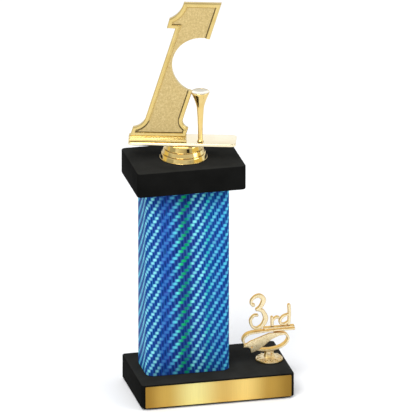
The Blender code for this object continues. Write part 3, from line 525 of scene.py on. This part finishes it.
def smoothPath(knots, steps=10):
    # a smooth curve through the knots, which are (x, z, width)
    points = []
    for i in range(len(knots) - 1):
        before, start = Vector(knots[max(i - 1, 0)]), Vector(knots[i])
        end, after = Vector(knots[i + 1]), Vector(knots[min(i + 2, len(knots) - 1)])
        for k in range(steps):
            t = k / steps
            bend = (end - before) * t + (2 * before - 5 * start + 4 * end - after) * t ** 2
            bend += (3 * start - before - 3 * end + after) * t ** 3
            points.append(start + bend / 2)
    return points + [Vector(knots[-1])]


def strokeOutline(knots, roundStart=True, roundEnd=True):
    # the outline of a pen stroke along the knots, with round or square ends
    path = smoothPath(knots)
    last = len(path) - 1
    left, right = [], []
    for i, point in enumerate(path):
        ahead = path[min(i + 1, last)] - path[max(i - 1, 0)]
        side = Vector((-ahead.y, ahead.x)).normalized() * point.z / 2
        left.append((point.x + side.x, point.y + side.y))
        right.append((point.x - side.x, point.y - side.y))
    outline = left + (roundCap(path[last], path[last - 1]) if roundEnd else [])
    outline += list(reversed(right))
    return outline + (roundCap(path[0], path[1]) if roundStart else [])


def roundCap(tip, inner, steps=8):
    # the points of a half circle round a stroke's end
    away = math.atan2(tip.y - inner.y, tip.x - inner.x)
    angles = [away + math.pi / 2 - math.pi * i / steps for i in range(1, steps)]
    return [(tip.x + tip.z / 2 * math.cos(a), tip.y + tip.z / 2 * math.sin(a)) for a in angles]


def castOutline(name, points, thickness, soften, shift, place):
    # a flat outline standing in the XZ plane, with its rims rounded by the curve's own bevel
    data = bpy.data.curves.new(name, "CURVE")
    data.dimensions = "2D"
    data.fill_mode = "BOTH"
    data.extrude = thickness / 2 - soften
    data.bevel_depth = soften
    data.bevel_resolution = 2
    data.offset = -soften
    spline = data.splines.new("POLY")
    spline.points.add(len(points) - 1)
    for point, (x, z) in zip(spline.points, points):
        point.co = (x, z, 0.0, 1.0)
    spline.use_cyclic_u = True
    curve = linked(name, data)
    curve.matrix_world = place @ at(0.0, shift, 0.0) @ standing
    return welded(baked(curve))


# stand

slab = {"baseCorner": 0.0024, "lidCorner": 0.0034, "edge": 0.0009, "rodHole": 0.0036,
        "rodPocket": 0.009, "trimHole": 0.0016, "trimPocket": 0.0055}


def makeSlabs():
    for node, corner, pieceName, finish in (
            ("base_slab", slab["baseCorner"], "baseSlab", makeBlackPaint("base black")),
            ("lid_slab", slab["lidCorner"], "lidSlab", makeBlackPaint("lid black"))):
        low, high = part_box(node)
        size = high - low
        centre = at((low.x + high.x) / 2, (low.y + high.y) / 2, low.z)
        block = softBlock(pieceName, size.x, size.y, size.z, corner, slab["edge"], place=centre)
        # a cut's name, its axis, its radius and how high it reaches
        cuts = [("rodHole", rodAxis, slab["rodHole"], high.z + past)]
        if node == "base_slab":
            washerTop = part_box("rod_washer")[1].z
            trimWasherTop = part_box("trim_washer")[1].z
            cuts += [("rodPocket", rodAxis, slab["rodPocket"], washerTop + gap),
                     ("trimHole", trimAxis, slab["trimHole"], high.z + past),
                     ("trimPocket", trimAxis, slab["trimPocket"], trimWasherTop + gap)]
        steps = [("DIFFERENCE", rod(name, radius, low.z - past, top, at(axis.x, axis.y, 0.0)))
                 for name, axis, radius, top in cuts]
        settle(combined(block, steps), "stand", [node], [finish])
    print("slabs made")


column = {"corner": 0.0065, "wall": 0.0022, "cornerSteps": 14, "edge": 0.00025}


def roundedLoop(width, depth, corner, steps):
    # points round a rectangle with round corners, anticlockwise from the right end of its front
    points = []
    centres = ((width / 2 - corner, -depth / 2 + corner, -90.0),
               (width / 2 - corner, depth / 2 - corner, 0.0),
               (-width / 2 + corner, depth / 2 - corner, 90.0),
               (-width / 2 + corner, -depth / 2 + corner, 180.0))
    for x, y, start in centres:
        degrees = [start + 90.0 * i / steps for i in range(steps + 1)]
        points += [Vector(point) for point in arc(x, y, corner, corner, degrees)]
    return points


def makeColumn():
    low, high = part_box("column_sleeve")
    width, depth = high.x - low.x, high.y - low.y
    middle = (low + high) / 2
    outer = roundedLoop(width, depth, column["corner"], column["cornerSteps"])
    wall, edge = column["wall"], column["edge"]
    inner = roundedLoop(width - 2 * wall, depth - 2 * wall, column["corner"] - wall,
                        column["cornerSteps"])
    lean = [p - p.normalized() * edge for p in outer]
    lines = ((inner, low.z), (lean, low.z), (outer, low.z + edge), (outer, high.z - edge),
             (lean, high.z), (inner, high.z))
    bm = bmesh.new()
    wrap = bm.loops.layers.uv.new("wrap")
    loops = [[bm.verts.new((p.x + middle.x, p.y + middle.y, z)) for p in points]
             for points, z in lines]
    lengths = [0.0]
    for i in range(len(outer)):
        lengths.append(lengths[-1] + (outer[(i + 1) % len(outer)] - outer[i]).length)
    # the wrap starts in the middle of the front left corner
    start = lengths[-1] - (width - 2 * column["corner"]) - column["corner"] * math.pi / 4
    lengths = [length - start for length in lengths]
    for k in range(len(loops)):
        first, second = loops[k], loops[(k + 1) % len(loops)]
        for i in range(len(outer)):
            j = (i + 1) % len(outer)
            face = bm.faces.new((first[i], first[j], second[j], second[i]))
            for loop, u in zip(face.loops, (lengths[i], lengths[i + 1], lengths[i + 1], lengths[i])):
                loop[wrap].uv = (u, loop.vert.co.z - low.z)
    around = lengths[-1] - lengths[0]
    settle(newMesh("columnSleeve", bm), "stand", ["column_sleeve"],
           [makeTwillFilm("blue twill film", around)])
    print("column made, %.1f mm round" % (around * 1000))


nameplate = {"corner": 0.0009, "edge": 0.0002}


def makeNameplate():
    low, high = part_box("nameplate")
    size = high - low
    place = at((low.x + high.x) / 2, high.y, (low.z + high.z) / 2) @ standing
    plate = softBlock("nameplate_gold", size.x, size.z, size.y, nameplate["corner"],
                      nameplate["edge"], 5, 3, place)
    settle(plate, "stand", ["nameplate"],
           [makeBrushedPlate("brushed nameplate", low.x, high.x)])
    print("nameplate made")


# figure

# each tier of the riser: radius at its shoulder, radius at its foot, height
riser = {"tiers": ((0.0145, 0.0158, 0.0046), (0.0163, 0.0176, 0.0038), (0.01805, 0.01935, 0.0042)),
         "shoulderIn": 0.0007, "shoulderCut": 0.0002, "shoulderDrop": 0.0006, "bead": 0.00032,
         "socket": 0.0053}


def makeRiser():
    low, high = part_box("figure_riser")
    level = high.z - low.z
    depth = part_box("figure_insert_nut")[1].z - low.z + gap
    bead, cut, drop = riser["bead"], riser["shoulderCut"], riser["shoulderDrop"]
    profile = [(0.0, level)]
    for top, foot, rise in riser["tiers"]:
        profile += [(top - riser["shoulderIn"], level), (top - cut, level - cut), (top, level - drop)]
        for i in range(1, 8):
            t = i / 8
            profile.append((top + (foot - top - bead) * t,
                            level - drop - (rise - drop - 2 * bead) * t))
        profile += arc(foot - bead, level - rise + bead, bead, bead, range(90, -91, -30))
        level -= rise
    profile += [(riser["socket"], 0.0), (riser["socket"], depth), (0.0, depth)]
    piece = turned("figureRiser", profile, figurePlace)
    settle(piece, "figure", ["figure_riser"], [makePolishedGold("riser gold", 0.07)])


figurePlate = {"length": 0.0876, "depth": 0.0225, "corner": 0.0040, "edge": 0.0005, "shift": -0.0010}


def makeFigurePlate():
    low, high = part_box("figure_plate")
    place = figurePlace @ at(figurePlate["shift"], 0.0, low.z - rodAxis.z)
    piece = softBlock("figurePlate", figurePlate["length"], figurePlate["depth"], high.z - low.z,
                      figurePlate["corner"], figurePlate["edge"], 12, 5, place)
    settle(piece, "figure", ["figure_plate"],
           [makePolishedGold("mirror gold", 0.07, 40.0, paleGold)])


# the last entry is the height below which the groove is painted with shade all round
number = {
    "forward": -0.0055, "thickness": 0.0052, "top": 0.1192, "lean": 0.312, "rightAtTop": 0.0311,
    "topLength": 0.0304, "stemLeft": -0.0061, "flagHeight": 0.0972, "flagTip": (-0.0130, 0.0975),
    "shoulder": (-0.0109, 0.1052), "flagSag": 0.0022, "waist": 0.0188, "flareSag": 0.0016,
    "footTop": 0.0115, "footLeft": -0.0405, "footRight": 0.0042, "footTaper": 0.0024,
    "plinth": 0.0041, "plinthDepth": 0.0082, "plinthMargin": 0.0010, "plinthCorner": 0.0006,
    "seatRadius": 0.023935, "seatReach": 0.02, "seat": (0.0150, 0.0656), "shadeTop": 0.030,
}
# the moulded rim, from the outer side to the panel: how far in, and how far out from the middle
rimProfile = ((0.0, 0.0016), (0.00012, 0.0021), (0.0005, 0.0025), (0.0010, 0.0026),
              (0.0026, 0.0026), (0.0030, 0.0024), (0.0032, 0.0020), (0.0033, 0.0014),
              (0.0037, 0.0014), (0.0039, 0.0017))
grooveStart = 0.0031


def numberOutline():
    n = number

    def rightAt(height):
        return n["rightAtTop"] - n["lean"] * (n["top"] - height)

    topLeft = (n["rightAtTop"] - n["topLength"], n["top"])
    rightWaist = (rightAt(n["waist"]), n["waist"])
    rightSerif = (n["footRight"], n["footTop"])
    leftSerif = (n["footLeft"], n["footTop"])
    leftWaist = (n["stemLeft"] - n["lean"] * (n["flagHeight"] - n["waist"]), n["waist"])
    return [topLeft, (n["rightAtTop"], n["top"]), rightWaist,
            *hollowEdge(rightWaist, rightSerif, n["flareSag"], 8), rightSerif,
            (n["footRight"] - n["footTaper"], n["plinth"]),
            (n["footLeft"] - n["footTaper"], n["plinth"]), leftSerif,
            *hollowEdge(leftSerif, leftWaist, n["flareSag"], 8), leftWaist,
            (n["stemLeft"], n["flagHeight"]), n["flagTip"], n["shoulder"],
            *hollowEdge(n["shoulder"], topLeft, n["flagSag"], 14)]


def makeNumber():
    # rings of points step in from the outline over the rim, on the back and on the front
    place = figurePlace @ at(0.0, number["forward"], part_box("number_one")[0].z - rodAxis.z)
    outline = numberOutline()
    count = len(outline)
    bm = bmesh.new()
    levels = [(d, y) for d, y in reversed(rimProfile)] + [(d, -y) for d, y in rimProfile]
    rings = [[bm.verts.new((p.x, y, p.y)) for p in inset(outline, d)] for d, y in levels]
    for k, (back, front) in enumerate(zip(rings, rings[1:])):
        inGroove = min(levels[k][0], levels[k + 1][0]) > grooveStart
        for i in range(count):
            j = (i + 1) % count
            face = bm.faces.new((back[i], back[j], front[j], front[i]))
            run = (Vector(outline[j]) - Vector(outline[i])).normalized()
            # painted shade lies along the right side and the bottom, and all round the foot
            inward = Vector((run.y, -run.x))
            nearFoot = max(outline[i][1], outline[j][1]) < number["shadeTop"]
            shadedFace = inward.x < -0.5 or inward.y > 0.7 or nearFoot
            # faces picked above take the dark painted shade material
            face.material_index = 2 if inGroove and shadedFace else 0
    panels = [bm.faces.new(rings[0]), bm.faces.new(rings[-1])]
    for panel in panels:
        panel.material_index = 1
        panel.normal_update()
    bmesh.ops.triangulate(bm, faces=panels)
    bmesh.ops.recalc_face_normals(bm, faces=bm.faces)
    plaque = newMesh("numberOne", bm, place)
    dress(plaque, makePolishedGold("rim gold", 0.24, 90.0, rimGold), makeSandedGold("sanded gold"),
          makeGrooveShade("groove painted shade"))
    left = number["footLeft"] - number["footTaper"] - number["plinthMargin"]
    right = number["footRight"] - number["footTaper"] + number["plinthMargin"]
    plinth = makePlinth(right - left, place @ at((left + right) / 2, 0.0, 0.0))
    across = place @ at(number["seat"][0], 0.0, number["seat"][1]) @ standing
    reach = number["seatReach"]
    ball = rod("ballSeat", number["seatRadius"], -reach, reach, across, 128)
    piece = combined(plaque, [("UNION", plinth), ("DIFFERENCE", ball)])
    settle(piece, "figure", ["number_one"], [])


# the plinth's moulding from its foot up: height, and how far in from its widest
plinthProfile = ((0.0, 0.0005), (0.0003, 0.0002), (0.0020, 0.0002), (0.0023, 0.0004),
                 (0.0026, 0.0009), (0.0030, 0.0011), (0.0033, 0.0009), (0.0036, 0.0005),
                 (0.0038, 0.0001), (0.0041, 0.0), (0.0044, 0.0002), (0.0046, 0.0006))


def makePlinth(length, place):
    bm = bmesh.new()
    rings = []
    for height, shrink in plinthProfile:
        loop = roundedLoop(length - 2 * shrink, number["plinthDepth"] - 2 * shrink,
                           number["plinthCorner"], 4)
        rings.append([bm.verts.new((p.x, p.y, height)) for p in loop])
    for lower, upper in zip(rings, rings[1:]):
        for i in range(len(lower)):
            j = (i + 1) % len(lower)
            bm.faces.new((lower[i], lower[j], upper[j], upper[i]))
    bm.faces.new(list(reversed(rings[0])))
    bm.faces.new(rings[-1])
    return newMesh("numberPlinth", bm, place)


tee = {"x": 0.0139, "ball": 0.021335, "drop": 0.0023, "cup": 0.0076, "wall": 0.0009,
       "neck": 0.0030, "cupDepth": 0.0140, "flare": 1.3, "shank": 0.0019, "taper": 2.2,
       "toe": 0.0027, "toeHigh": 0.0007, "toeEdge": 0.0003, "hollowFacing": 0.75}


def makeTee():
    t = tee
    middle = number["seat"][1] - t["drop"]
    reach = math.sqrt(t["ball"] ** 2 - t["cup"] ** 2)
    rim = middle - reach - gap
    floor = rim - t["ball"] + reach
    lip = t["cup"] - t["wall"]
    profile = [(0.0, floor)]
    for i in range(1, 9):
        radius = lip * i / 8
        profile.append((radius, floor + t["ball"] - math.sqrt(t["ball"] ** 2 - radius ** 2)))
    half = t["wall"] / 2
    profile += arc(t["cup"] - half, rim - half, half, half, range(125, -1, -25))
    for i in range(1, 17):
        share = i / 16
        radius = t["neck"] + (t["cup"] - t["neck"]) * (1 - share) ** t["flare"]
        profile.append((radius, rim - t["wall"] - (t["cupDepth"] - t["wall"]) * share))
    neckHeight = rim - t["cupDepth"]
    for i in range(1, 13):
        share = i / 12
        radius = t["shank"] + (t["neck"] - t["shank"]) * (1 - share) ** t["taper"]
        profile.append((radius, neckHeight + (2 * t["toeHigh"] - neckHeight) * share))
    profile += [(t["toe"] - t["toeEdge"], t["toeHigh"]), (t["toe"], t["toeHigh"] - t["toeEdge"]),
                (t["toe"], 0.0), (0.0, 0.0)]
    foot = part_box("ball_tee")[0].z - rodAxis.z
    place = figurePlace @ at(t["x"], number["forward"], foot)
    piece = turned("ballTee", profile, place, 64)
    # the cup is notched where the numeral's edge runs past it
    low, high = rim - t["cupDepth"], rim + t["cup"]
    edge = [(number["rightAtTop"] - number["lean"] * (number["top"] - z) + gap / 3, z)
            for z in (low, high)]
    notch = edge + [(x - 2 * t["cup"], z) for x, z in reversed(edge)]
    cutter = castOutline("teeNotch", notch, number["thickness"] + gap, 0.0,
                         number["forward"], figurePlace @ at(0.0, 0.0, foot))
    piece = combined(piece, [("DIFFERENCE", cutter)])
    dress(piece, makePolishedGold("tee gold", 0.10),
          makePolishedGold("tee hollow painted highlight", 0.12, tones=hollowHighlight))
    # faces in the cup that look up are painted pale, a painted highlight in the hollow
    for face in piece.data.polygons:
        if face.normal.z > t["hollowFacing"] and face.center.z > foot + rodAxis.z + rim - t["cup"]:
            face.material_index = 1
    settle(piece, "figure", ["ball_tee"], [])


# trim

ribbon = {"band": 0.0017, "depth": 0.0054, "bottom": 0.0082, "top": 0.0267, "tail": 0.0018,
          "tailSoft": 0.0004, "tailHole": 0.0008, "holeReach": 0.006, "proud": 0.0006,
          "barLeft": -0.0046, "barRight": 0.0209, "barTop": 0.0283, "barDepth": 0.0040,
          "barBack": 0.0001, "barCorner": 0.0006, "barEdge": 0.0003, "soft": 0.00035}


def makeRibbon(finish):
    r = ribbon
    wide = r["band"]
    low, high = r["bottom"] + wide / 2, r["top"] - wide / 2
    path = ((r["barRight"], high), (0.0060, high), (-0.0070, high - 0.0004),
            (-0.0170, high - 0.0014), (-0.0215, high - 0.0048), (-0.0215, low + 0.0078),
            (-0.0175, low + 0.0040), (-0.0090, low + 0.0009), (0.0, low), (0.0075, low + 0.0012),
            (0.0128, low + 0.0040), (0.0155, low + 0.0083), (0.0140, low + 0.0120),
            (0.0095, low + 0.0140), (0.0040, low + 0.0143))
    band = castOutline("trimRibbon", strokeOutline([(x, z, wide) for x, z in path], False, False),
                       r["depth"], r["soft"], 0.0, trimPlace)
    barPlace = at((r["barLeft"] + r["barRight"]) / 2, (r["depth"] - r["barDepth"]) / 2 + r["barBack"],
                  high)
    bar = softBlock("bar", r["barRight"] - r["barLeft"], r["barDepth"], r["barTop"] - high,
                    r["barCorner"], r["barEdge"], 4, 3, trimPlace @ barPlace)
    tail = ((0.0125, 0.0142), (0.0050, 0.0150), (-0.0007, 0.0150), (-0.0169, 0.0093),
            (-0.0218, 0.0060), (-0.0220, 0.0043), (-0.0185, 0.0040), (-0.0169, 0.0034),
            (-0.0157, -0.0012), (-0.0100, 0.0012), (-0.0045, 0.0048), (0.0013, 0.0094),
            (0.0075, 0.0121), (0.0120, 0.0127))
    flap = castOutline("tail", [(x, low + z) for x, z in tail], r["tail"], r["tailSoft"],
                       -r["depth"] / 2 - r["proud"] + r["tail"] / 2, trimPlace)
    reach = r["holeReach"]
    pin = rod("tailHole", r["tailHole"], -reach, reach,
              trimPlace @ at(-0.0153, -r["depth"], low + 0.0040) @ standing, 24)
    piece = combined(band, [("UNION", bar), ("UNION", flap), ("DIFFERENCE", pin)])
    settle(piece, "trim", ["trim_ribbon"], [finish], 40.0)


# the second stroke of a sign is a hair thinner, so that no two faces lie in one plane
signs = {"thick": (0.0030, 0.00299), "numeralSoft": 0.0006, "letterSoft": 0.0005, "letterBack": 0.0007}


def makeNumeral(finish):
    foot = ribbon["top"] + gap
    upper = ((-0.0135, 0.0218, 0.0030), (-0.0153, 0.0232, 0.0020), (-0.0148, 0.0263, 0.0022),
             (-0.0120, 0.0288, 0.0026), (-0.0082, 0.0294, 0.0034), (-0.0050, 0.0262, 0.0040),
             (-0.0060, 0.0222, 0.0036), (-0.0080, 0.0193, 0.0030), (-0.0104, 0.0176, 0.0026))
    lower = ((-0.0100, 0.0177, 0.0024), (-0.0060, 0.0160, 0.0032), (-0.0033, 0.0105, 0.0040),
             (-0.0042, 0.0060, 0.0038), (-0.0068, 0.0028, 0.0032), (-0.0107, 0.0013, 0.0024),
             (-0.0142, 0.0030, 0.0022), (-0.0158, 0.0075, 0.0023), (-0.0150, 0.0104, 0.0022),
             (-0.0128, 0.0126, 0.0020), (-0.0103, 0.0127, 0.0022))
    strokes = [castOutline(name, strokeOutline([(x, foot + z, w) for x, z, w in knots]), thick,
                           signs["numeralSoft"], 0.0, trimPlace)
               for name, knots, thick in zip(("trimNumeral", "lowerBowl"), (upper, lower),
                                             signs["thick"])]
    piece = combined(strokes[0], [("UNION", strokes[1])])
    settle(piece, "trim", ["trim_numeral_3"], [finish], 40.0)


def makeLetters(finish):
    foot = ribbon["barTop"] + gap
    letters = (
        ("trimLetterR", "trim_letter_r",
         ((0.0025, 0.0, 0.0024), (0.0025, 0.0040, 0.0024), (0.0023, 0.0078, 0.0022)),
         ((0.0028, 0.0050, 0.0018), (0.0045, 0.0068, 0.0018), (0.0062, 0.0077, 0.0019),
          (0.0077, 0.0073, 0.0022))),
        ("trimLetterD", "trim_letter_d",
         ((0.0162, 0.0, 0.0023), (0.0168, 0.0090, 0.0024), (0.0165, 0.0172, 0.0026)),
         ((0.0163, 0.0094, 0.0018), (0.0123, 0.0083, 0.0019), (0.0095, 0.0057, 0.0021),
          (0.0091, 0.0028, 0.0021), (0.0110, 0.0012, 0.0020), (0.0138, 0.0016, 0.0018),
          (0.0162, 0.0034, 0.0018))),
    )
    for name, node, stem, bowed in letters:
        shapes = []
        for knots, thick, cap in zip((stem, bowed), signs["thick"], (False, True)):
            outline = strokeOutline([(x, foot + z, w) for x, z, w in knots], cap)
            shapes.append(castOutline(name, outline, thick, signs["letterSoft"],
                                      signs["letterBack"], trimPlace))
        piece = combined(shapes[0], [("UNION", shapes[1])])
        settle(piece, "trim", [node], [finish], 40.0)


trimFoot = {"radius": 0.0112, "rim": 0.0016, "dome": 0.0030, "domeCurve": 1.7, "hub": 0.0052,
            "hubIn": 0.0004, "hubCut": 0.0001, "hubStep": 0.0002, "neckBottom": 0.0049,
            "neckTop": 0.0033, "neckThick": 0.0048, "soft": 0.0006,
            "window": (0.0034, 0.0096, 0.0019), "windowCorner": 0.0004, "windowBottom": 0.0047,
            "screwHole": 0.0016, "screwDepth": 0.0034, "petals": 12, "petalRing": 0.0083,
            "petalSize": (0.0021, 0.0014, 0.0008), "petalLevel": 0.0021}


def makeTrimFoot(finish):
    f = trimFoot
    profile = [(0.0, f["dome"]), (f["hub"] - f["hubIn"], f["dome"]),
               (f["hub"], f["dome"] - f["hubCut"])]
    for i in range(1, 13):
        t = i / 12
        profile.append((f["hub"] + (f["radius"] - f["soft"] - f["hub"]) * t,
                        f["dome"] - f["hubStep"]
                        - (f["dome"] - f["rim"] - f["hubStep"]) * t ** f["domeCurve"]))
    profile += arc(f["radius"] - f["soft"], f["rim"] / 2, f["soft"], f["rim"] / 2,
                   range(90, -91, -30))
    profile.append((0.0, 0.0))
    disc = turned("trimFoot", profile, trimPlace)
    top = ribbon["bottom"] - gap
    side = []
    for i in range(13):
        t = i / 12
        side.append((f["neckBottom"] + (f["neckTop"] - f["neckBottom"]) * math.sin(t * math.pi / 2),
                     f["dome"] / 2 + (top - f["dome"] / 2) * t))
    neck = castOutline("neck", side + [(-x, z) for x, z in reversed(side)], f["neckThick"],
                       f["soft"], 0.0, trimPlace)
    window = softBlock("window", *f["window"], f["windowCorner"], 0.0, 4, 1,
                       trimPlace @ at(0.0, 0.0, f["windowBottom"]))
    petals = makePetals(finish)
    hole = rod("screwHole", f["screwHole"], -past, f["screwDepth"], trimPlace)
    piece = combined(disc, [("UNION", petals), ("UNION", neck), ("DIFFERENCE", window),
                            ("DIFFERENCE", hole)])
    settle(piece, "trim", ["trim_foot"], [finish], 40.0)


# geometry nodes

def geoNode(tree, kind, inputs=None):
    return addNode(tree, kind, inputs, prefix="GeometryNode")


def newGeometryTree(name, values):
    # a node group with one input for every value
    tree = bpy.data.node_groups.new(name, "GeometryNodeTree")
    tree.interface.new_socket("Geometry", in_out="INPUT", socket_type="NodeSocketGeometry")
    for label, value in values.items():
        kind = "NodeSocketInt" if isinstance(value, int) else "NodeSocketFloat"
        tree.interface.new_socket(label, in_out="INPUT", socket_type=kind).default_value = value
    tree.interface.new_socket("Geometry", in_out="OUTPUT", socket_type="NodeSocketGeometry")
    return tree, tree.nodes.new("NodeGroupInput").outputs, tree.nodes.new("NodeGroupOutput")


def runTree(name, tree, values, place):
    holder = linked(name, bpy.data.meshes.new(name))
    modifier = holder.modifiers.new("build", "NODES")
    modifier.node_group = tree
    for item in tree.interface.items_tree:
        if item.in_out == "INPUT" and item.name in values:
            modifier[item.identifier] = values[item.name]
    holder.matrix_world = place
    return baked(holder)


def makePetals(finish):
    # raised petals in a ring on the foot's dome
    f = trimFoot
    sizes = dict(zip(("Length", "Width", "Height"), f["petalSize"]))
    values = {"Count": f["petals"], "Ring": f["petalRing"], **sizes, "Level": f["petalLevel"]}
    tree, given, result = newGeometryTree("petal ring", values)
    circle = geoNode(tree, "MeshCircle", {"Vertices": given["Count"], "Radius": given["Ring"]})
    petal = geoNode(tree, "MeshUVSphere", {"Segments": 16, "Rings": 8, "Radius": 1.0})
    index = geoNode(tree, "InputIndex").outputs[0]
    rotation = addNode(tree, "CombineXYZ", {"Z": calc(tree, "MULTIPLY", index, math.tau / f["petals"])})
    size = addNode(tree, "CombineXYZ", {"X": given["Length"], "Y": given["Width"],
                                        "Z": given["Height"]})
    spots = geoNode(tree, "InstanceOnPoints", {
        "Points": circle.outputs[0], "Instance": petal.outputs[0],
        "Rotation": rotation.outputs[0], "Scale": size.outputs[0]})
    lift = addNode(tree, "CombineXYZ", {"Z": given["Level"]})
    raised = geoNode(tree, "Transform", {"Geometry": spots.outputs[0], "Translation": lift.outputs[0]})
    real = geoNode(tree, "RealizeInstances", {0: raised.outputs[0]})
    gilded = geoNode(tree, "SetMaterial", {"Geometry": real.outputs[0], "Material": finish})
    plug(tree, result.inputs[0], gilded.outputs[0])
    return runTree("petals", tree, values, trimPlace)


# hidden pieces, which keep the part's own shapes

def dressHidden():
    finishes = {
        "base_felt": ("felt", makeFelt("black felt")),
        "nameplate_tape": ("adhesive", makeFoamTape("foam tape")),
        "column_plug_lower": ("plug_wood", makeRawWood("lower plug wood")),
        "column_plug_upper": ("plug_wood", makeRawWood("upper plug wood")),
        "figure_insert_nut": ("insert_brass", makeTurnedBrass("insert brass")),
    }
    for node, label in (("tie_rod", "rod"), ("rod_nut", "nut"), ("rod_washer", "washer"),
                        ("rod_lock_washer", "lock washer"), ("trim_screw", "trim screw"),
                        ("trim_washer", "trim washer")):
        finishes[node] = ("zinc_steel", makeZincSteel(label + " zinc"))
    for node, (slotName, finish) in finishes.items():
        piece = frame["nodes"][node]
        piece.data.materials.clear()
        dress(piece, finish)
    print("hidden pieces dressed")


# studio

# screenTop and bandTop: from what height to what height one tone of the sky gives way to the next
studio = {"floorTone": 0.945, "sky": 0.72, "screenTop": (0.20, 0.27), "bandTop": (0.45, 0.75),
          "key": 34.0, "fill": 12.0, "rim": 1.8}


def makeFloor():
    bm = bmesh.new()
    bmesh.ops.create_grid(bm, x_segments=1, y_segments=1, size=9.0)
    bmesh.ops.translate(bm, vec=(0.0, 0.0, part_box("base_felt")[0].z), verts=bm.verts)
    floor = newMesh("floor", bm)
    finish, tree = newFinish("pale floor")
    tone = grain(tree, place3d(tree), 3.0, 2.0)
    low = studio["floorTone"]
    colour = twoTone(tree, tone, (low,) * 3, (low + 0.02,) * 3)
    dress(floor, surfaced(finish, colour, spread(tree, tone, 0.7, 0.8)))


def areaLight(name, where, target, size, power):
    data = bpy.data.lights.new(name, "AREA")
    data.shape = "RECTANGLE"
    data.size, data.size_y = size
    data.energy = power
    lamp = linked(name, data)
    lamp.location = where
    lamp.rotation_euler = (Vector(target) - Vector(where)).to_track_quat("-Z", "Y").to_euler()


def makeSky():
    # a soft white tent; low down it has brighter and darker screens, which the gold picks up
    world = bpy.data.worlds.new("studio")
    world.use_nodes = True
    tree = world.node_tree
    background = tree.nodes["Background"]
    direction = addNode(tree, "TexCoord").outputs["Generated"]
    split = addNode(tree, "SeparateXYZ", {0: direction})
    across = calc(tree, "MULTIPLY", split.outputs[0], -1.0)
    around = calc(tree, "ARCTAN2", across, split.outputs[1])  # 0 is behind the object
    share = calc(tree, "FRACT", calc(tree, "DIVIDE", around, math.tau))

    white, cream = (0.88, 0.91, 0.98), (1.10, 1.16, 1.28)
    warm, olive, tan, black = (1.0, 0.85, 0.38), (0.57, 0.59, 0.58), (0.60, 0.58, 0.52), (0.02,) * 3
    bright = (1.25, 1.42, 1.75)
    # degrees run from the back round by the left, the front and the right
    screens = ((0, white), (34, white), (44, warm), (74, warm), (80, olive), (114, olive),
               (120, cream), (134, cream), (146, (0.92, 0.92, 0.86)), (164, (0.74, 0.72, 0.65)),
               (176, tan), (186, (0.46, 0.44, 0.39)), (188, black), (202, black), (205, olive),
               (217, (0.62, 0.66, 0.62)), (224, warm), (268, warm), (276, bright), (318, bright),
               (330, white), (359, white))
    low = ramp(tree, share, [(degrees / 360.0, tone) for degrees, tone in screens])
    # the screens stand low; a pale band runs above them, and the tent closes over it
    overScreens = between(tree, split.outputs[2], *studio["screenTop"])
    overBand = between(tree, split.outputs[2], *studio["bandTop"])
    band = mixed(tree, overScreens, low, (*white, 1.0))
    plug(tree, background.inputs[0], mixed(tree, overBand, band, (*(studio["sky"],) * 3, 1.0)))
    bpy.context.scene.world = world


def makeStudio():
    makeFloor()
    makeSky()
    middle = (0.0, 0.0, 0.16)
    areaLight("key", (-0.9, -1.3, 1.9), middle, (1.2, 1.2), studio["key"])
    areaLight("fill", (1.6, -1.0, 1.2), middle, (0.9, 1.2), studio["fill"])
    areaLight("rim", (0.0, 1.9, 1.0), middle, (2.4, 0.7), studio["rim"])
    bpy.context.scene.view_settings.view_transform = "Standard"
    print("studio made")


view = {"azimuth": -13.0, "elevation": 21.2, "frameWidth": 0.3383, "distance": 12.0,
        "aimHeight": 0.1461, "sensor": 36.0}


def makeCamera():
    azimuth, elevation = math.radians(view["azimuth"]), math.radians(view["elevation"])
    distance = view["distance"]
    back = Vector((math.sin(azimuth) * math.cos(elevation), -math.cos(azimuth) * math.cos(elevation),
                   math.sin(elevation)))
    turn = (-back).to_track_quat("-Z", "Y")
    up = turn @ Vector((0.0, 1.0, 0.0))
    data = bpy.data.cameras.new("camera")
    data.sensor_width = view["sensor"]
    data.lens = view["sensor"] * distance / view["frameWidth"]
    data.clip_start, data.clip_end = 1.0, 40.0
    camera = linked("camera", data)
    camera.rotation_mode = "QUATERNION"
    camera.rotation_quaternion = turn
    camera.location = up * view["aimHeight"] + back * distance
    bpy.context.scene.camera = camera


makeCamera()
makeStudio()
makeSlabs()
makeColumn()
makeNameplate()
makeRiser()
makeFigurePlate()
makeNumber()
makeTee()
print("figure made")
trimFinish = makeSatinGold("satin gold")
makeTrimFoot(makeSatinGold("satin gold foot", 1.0))
makeRibbon(trimFinish)
makeNumeral(trimFinish)
makeLetters(trimFinish)
print("trim made")
dressHidden()
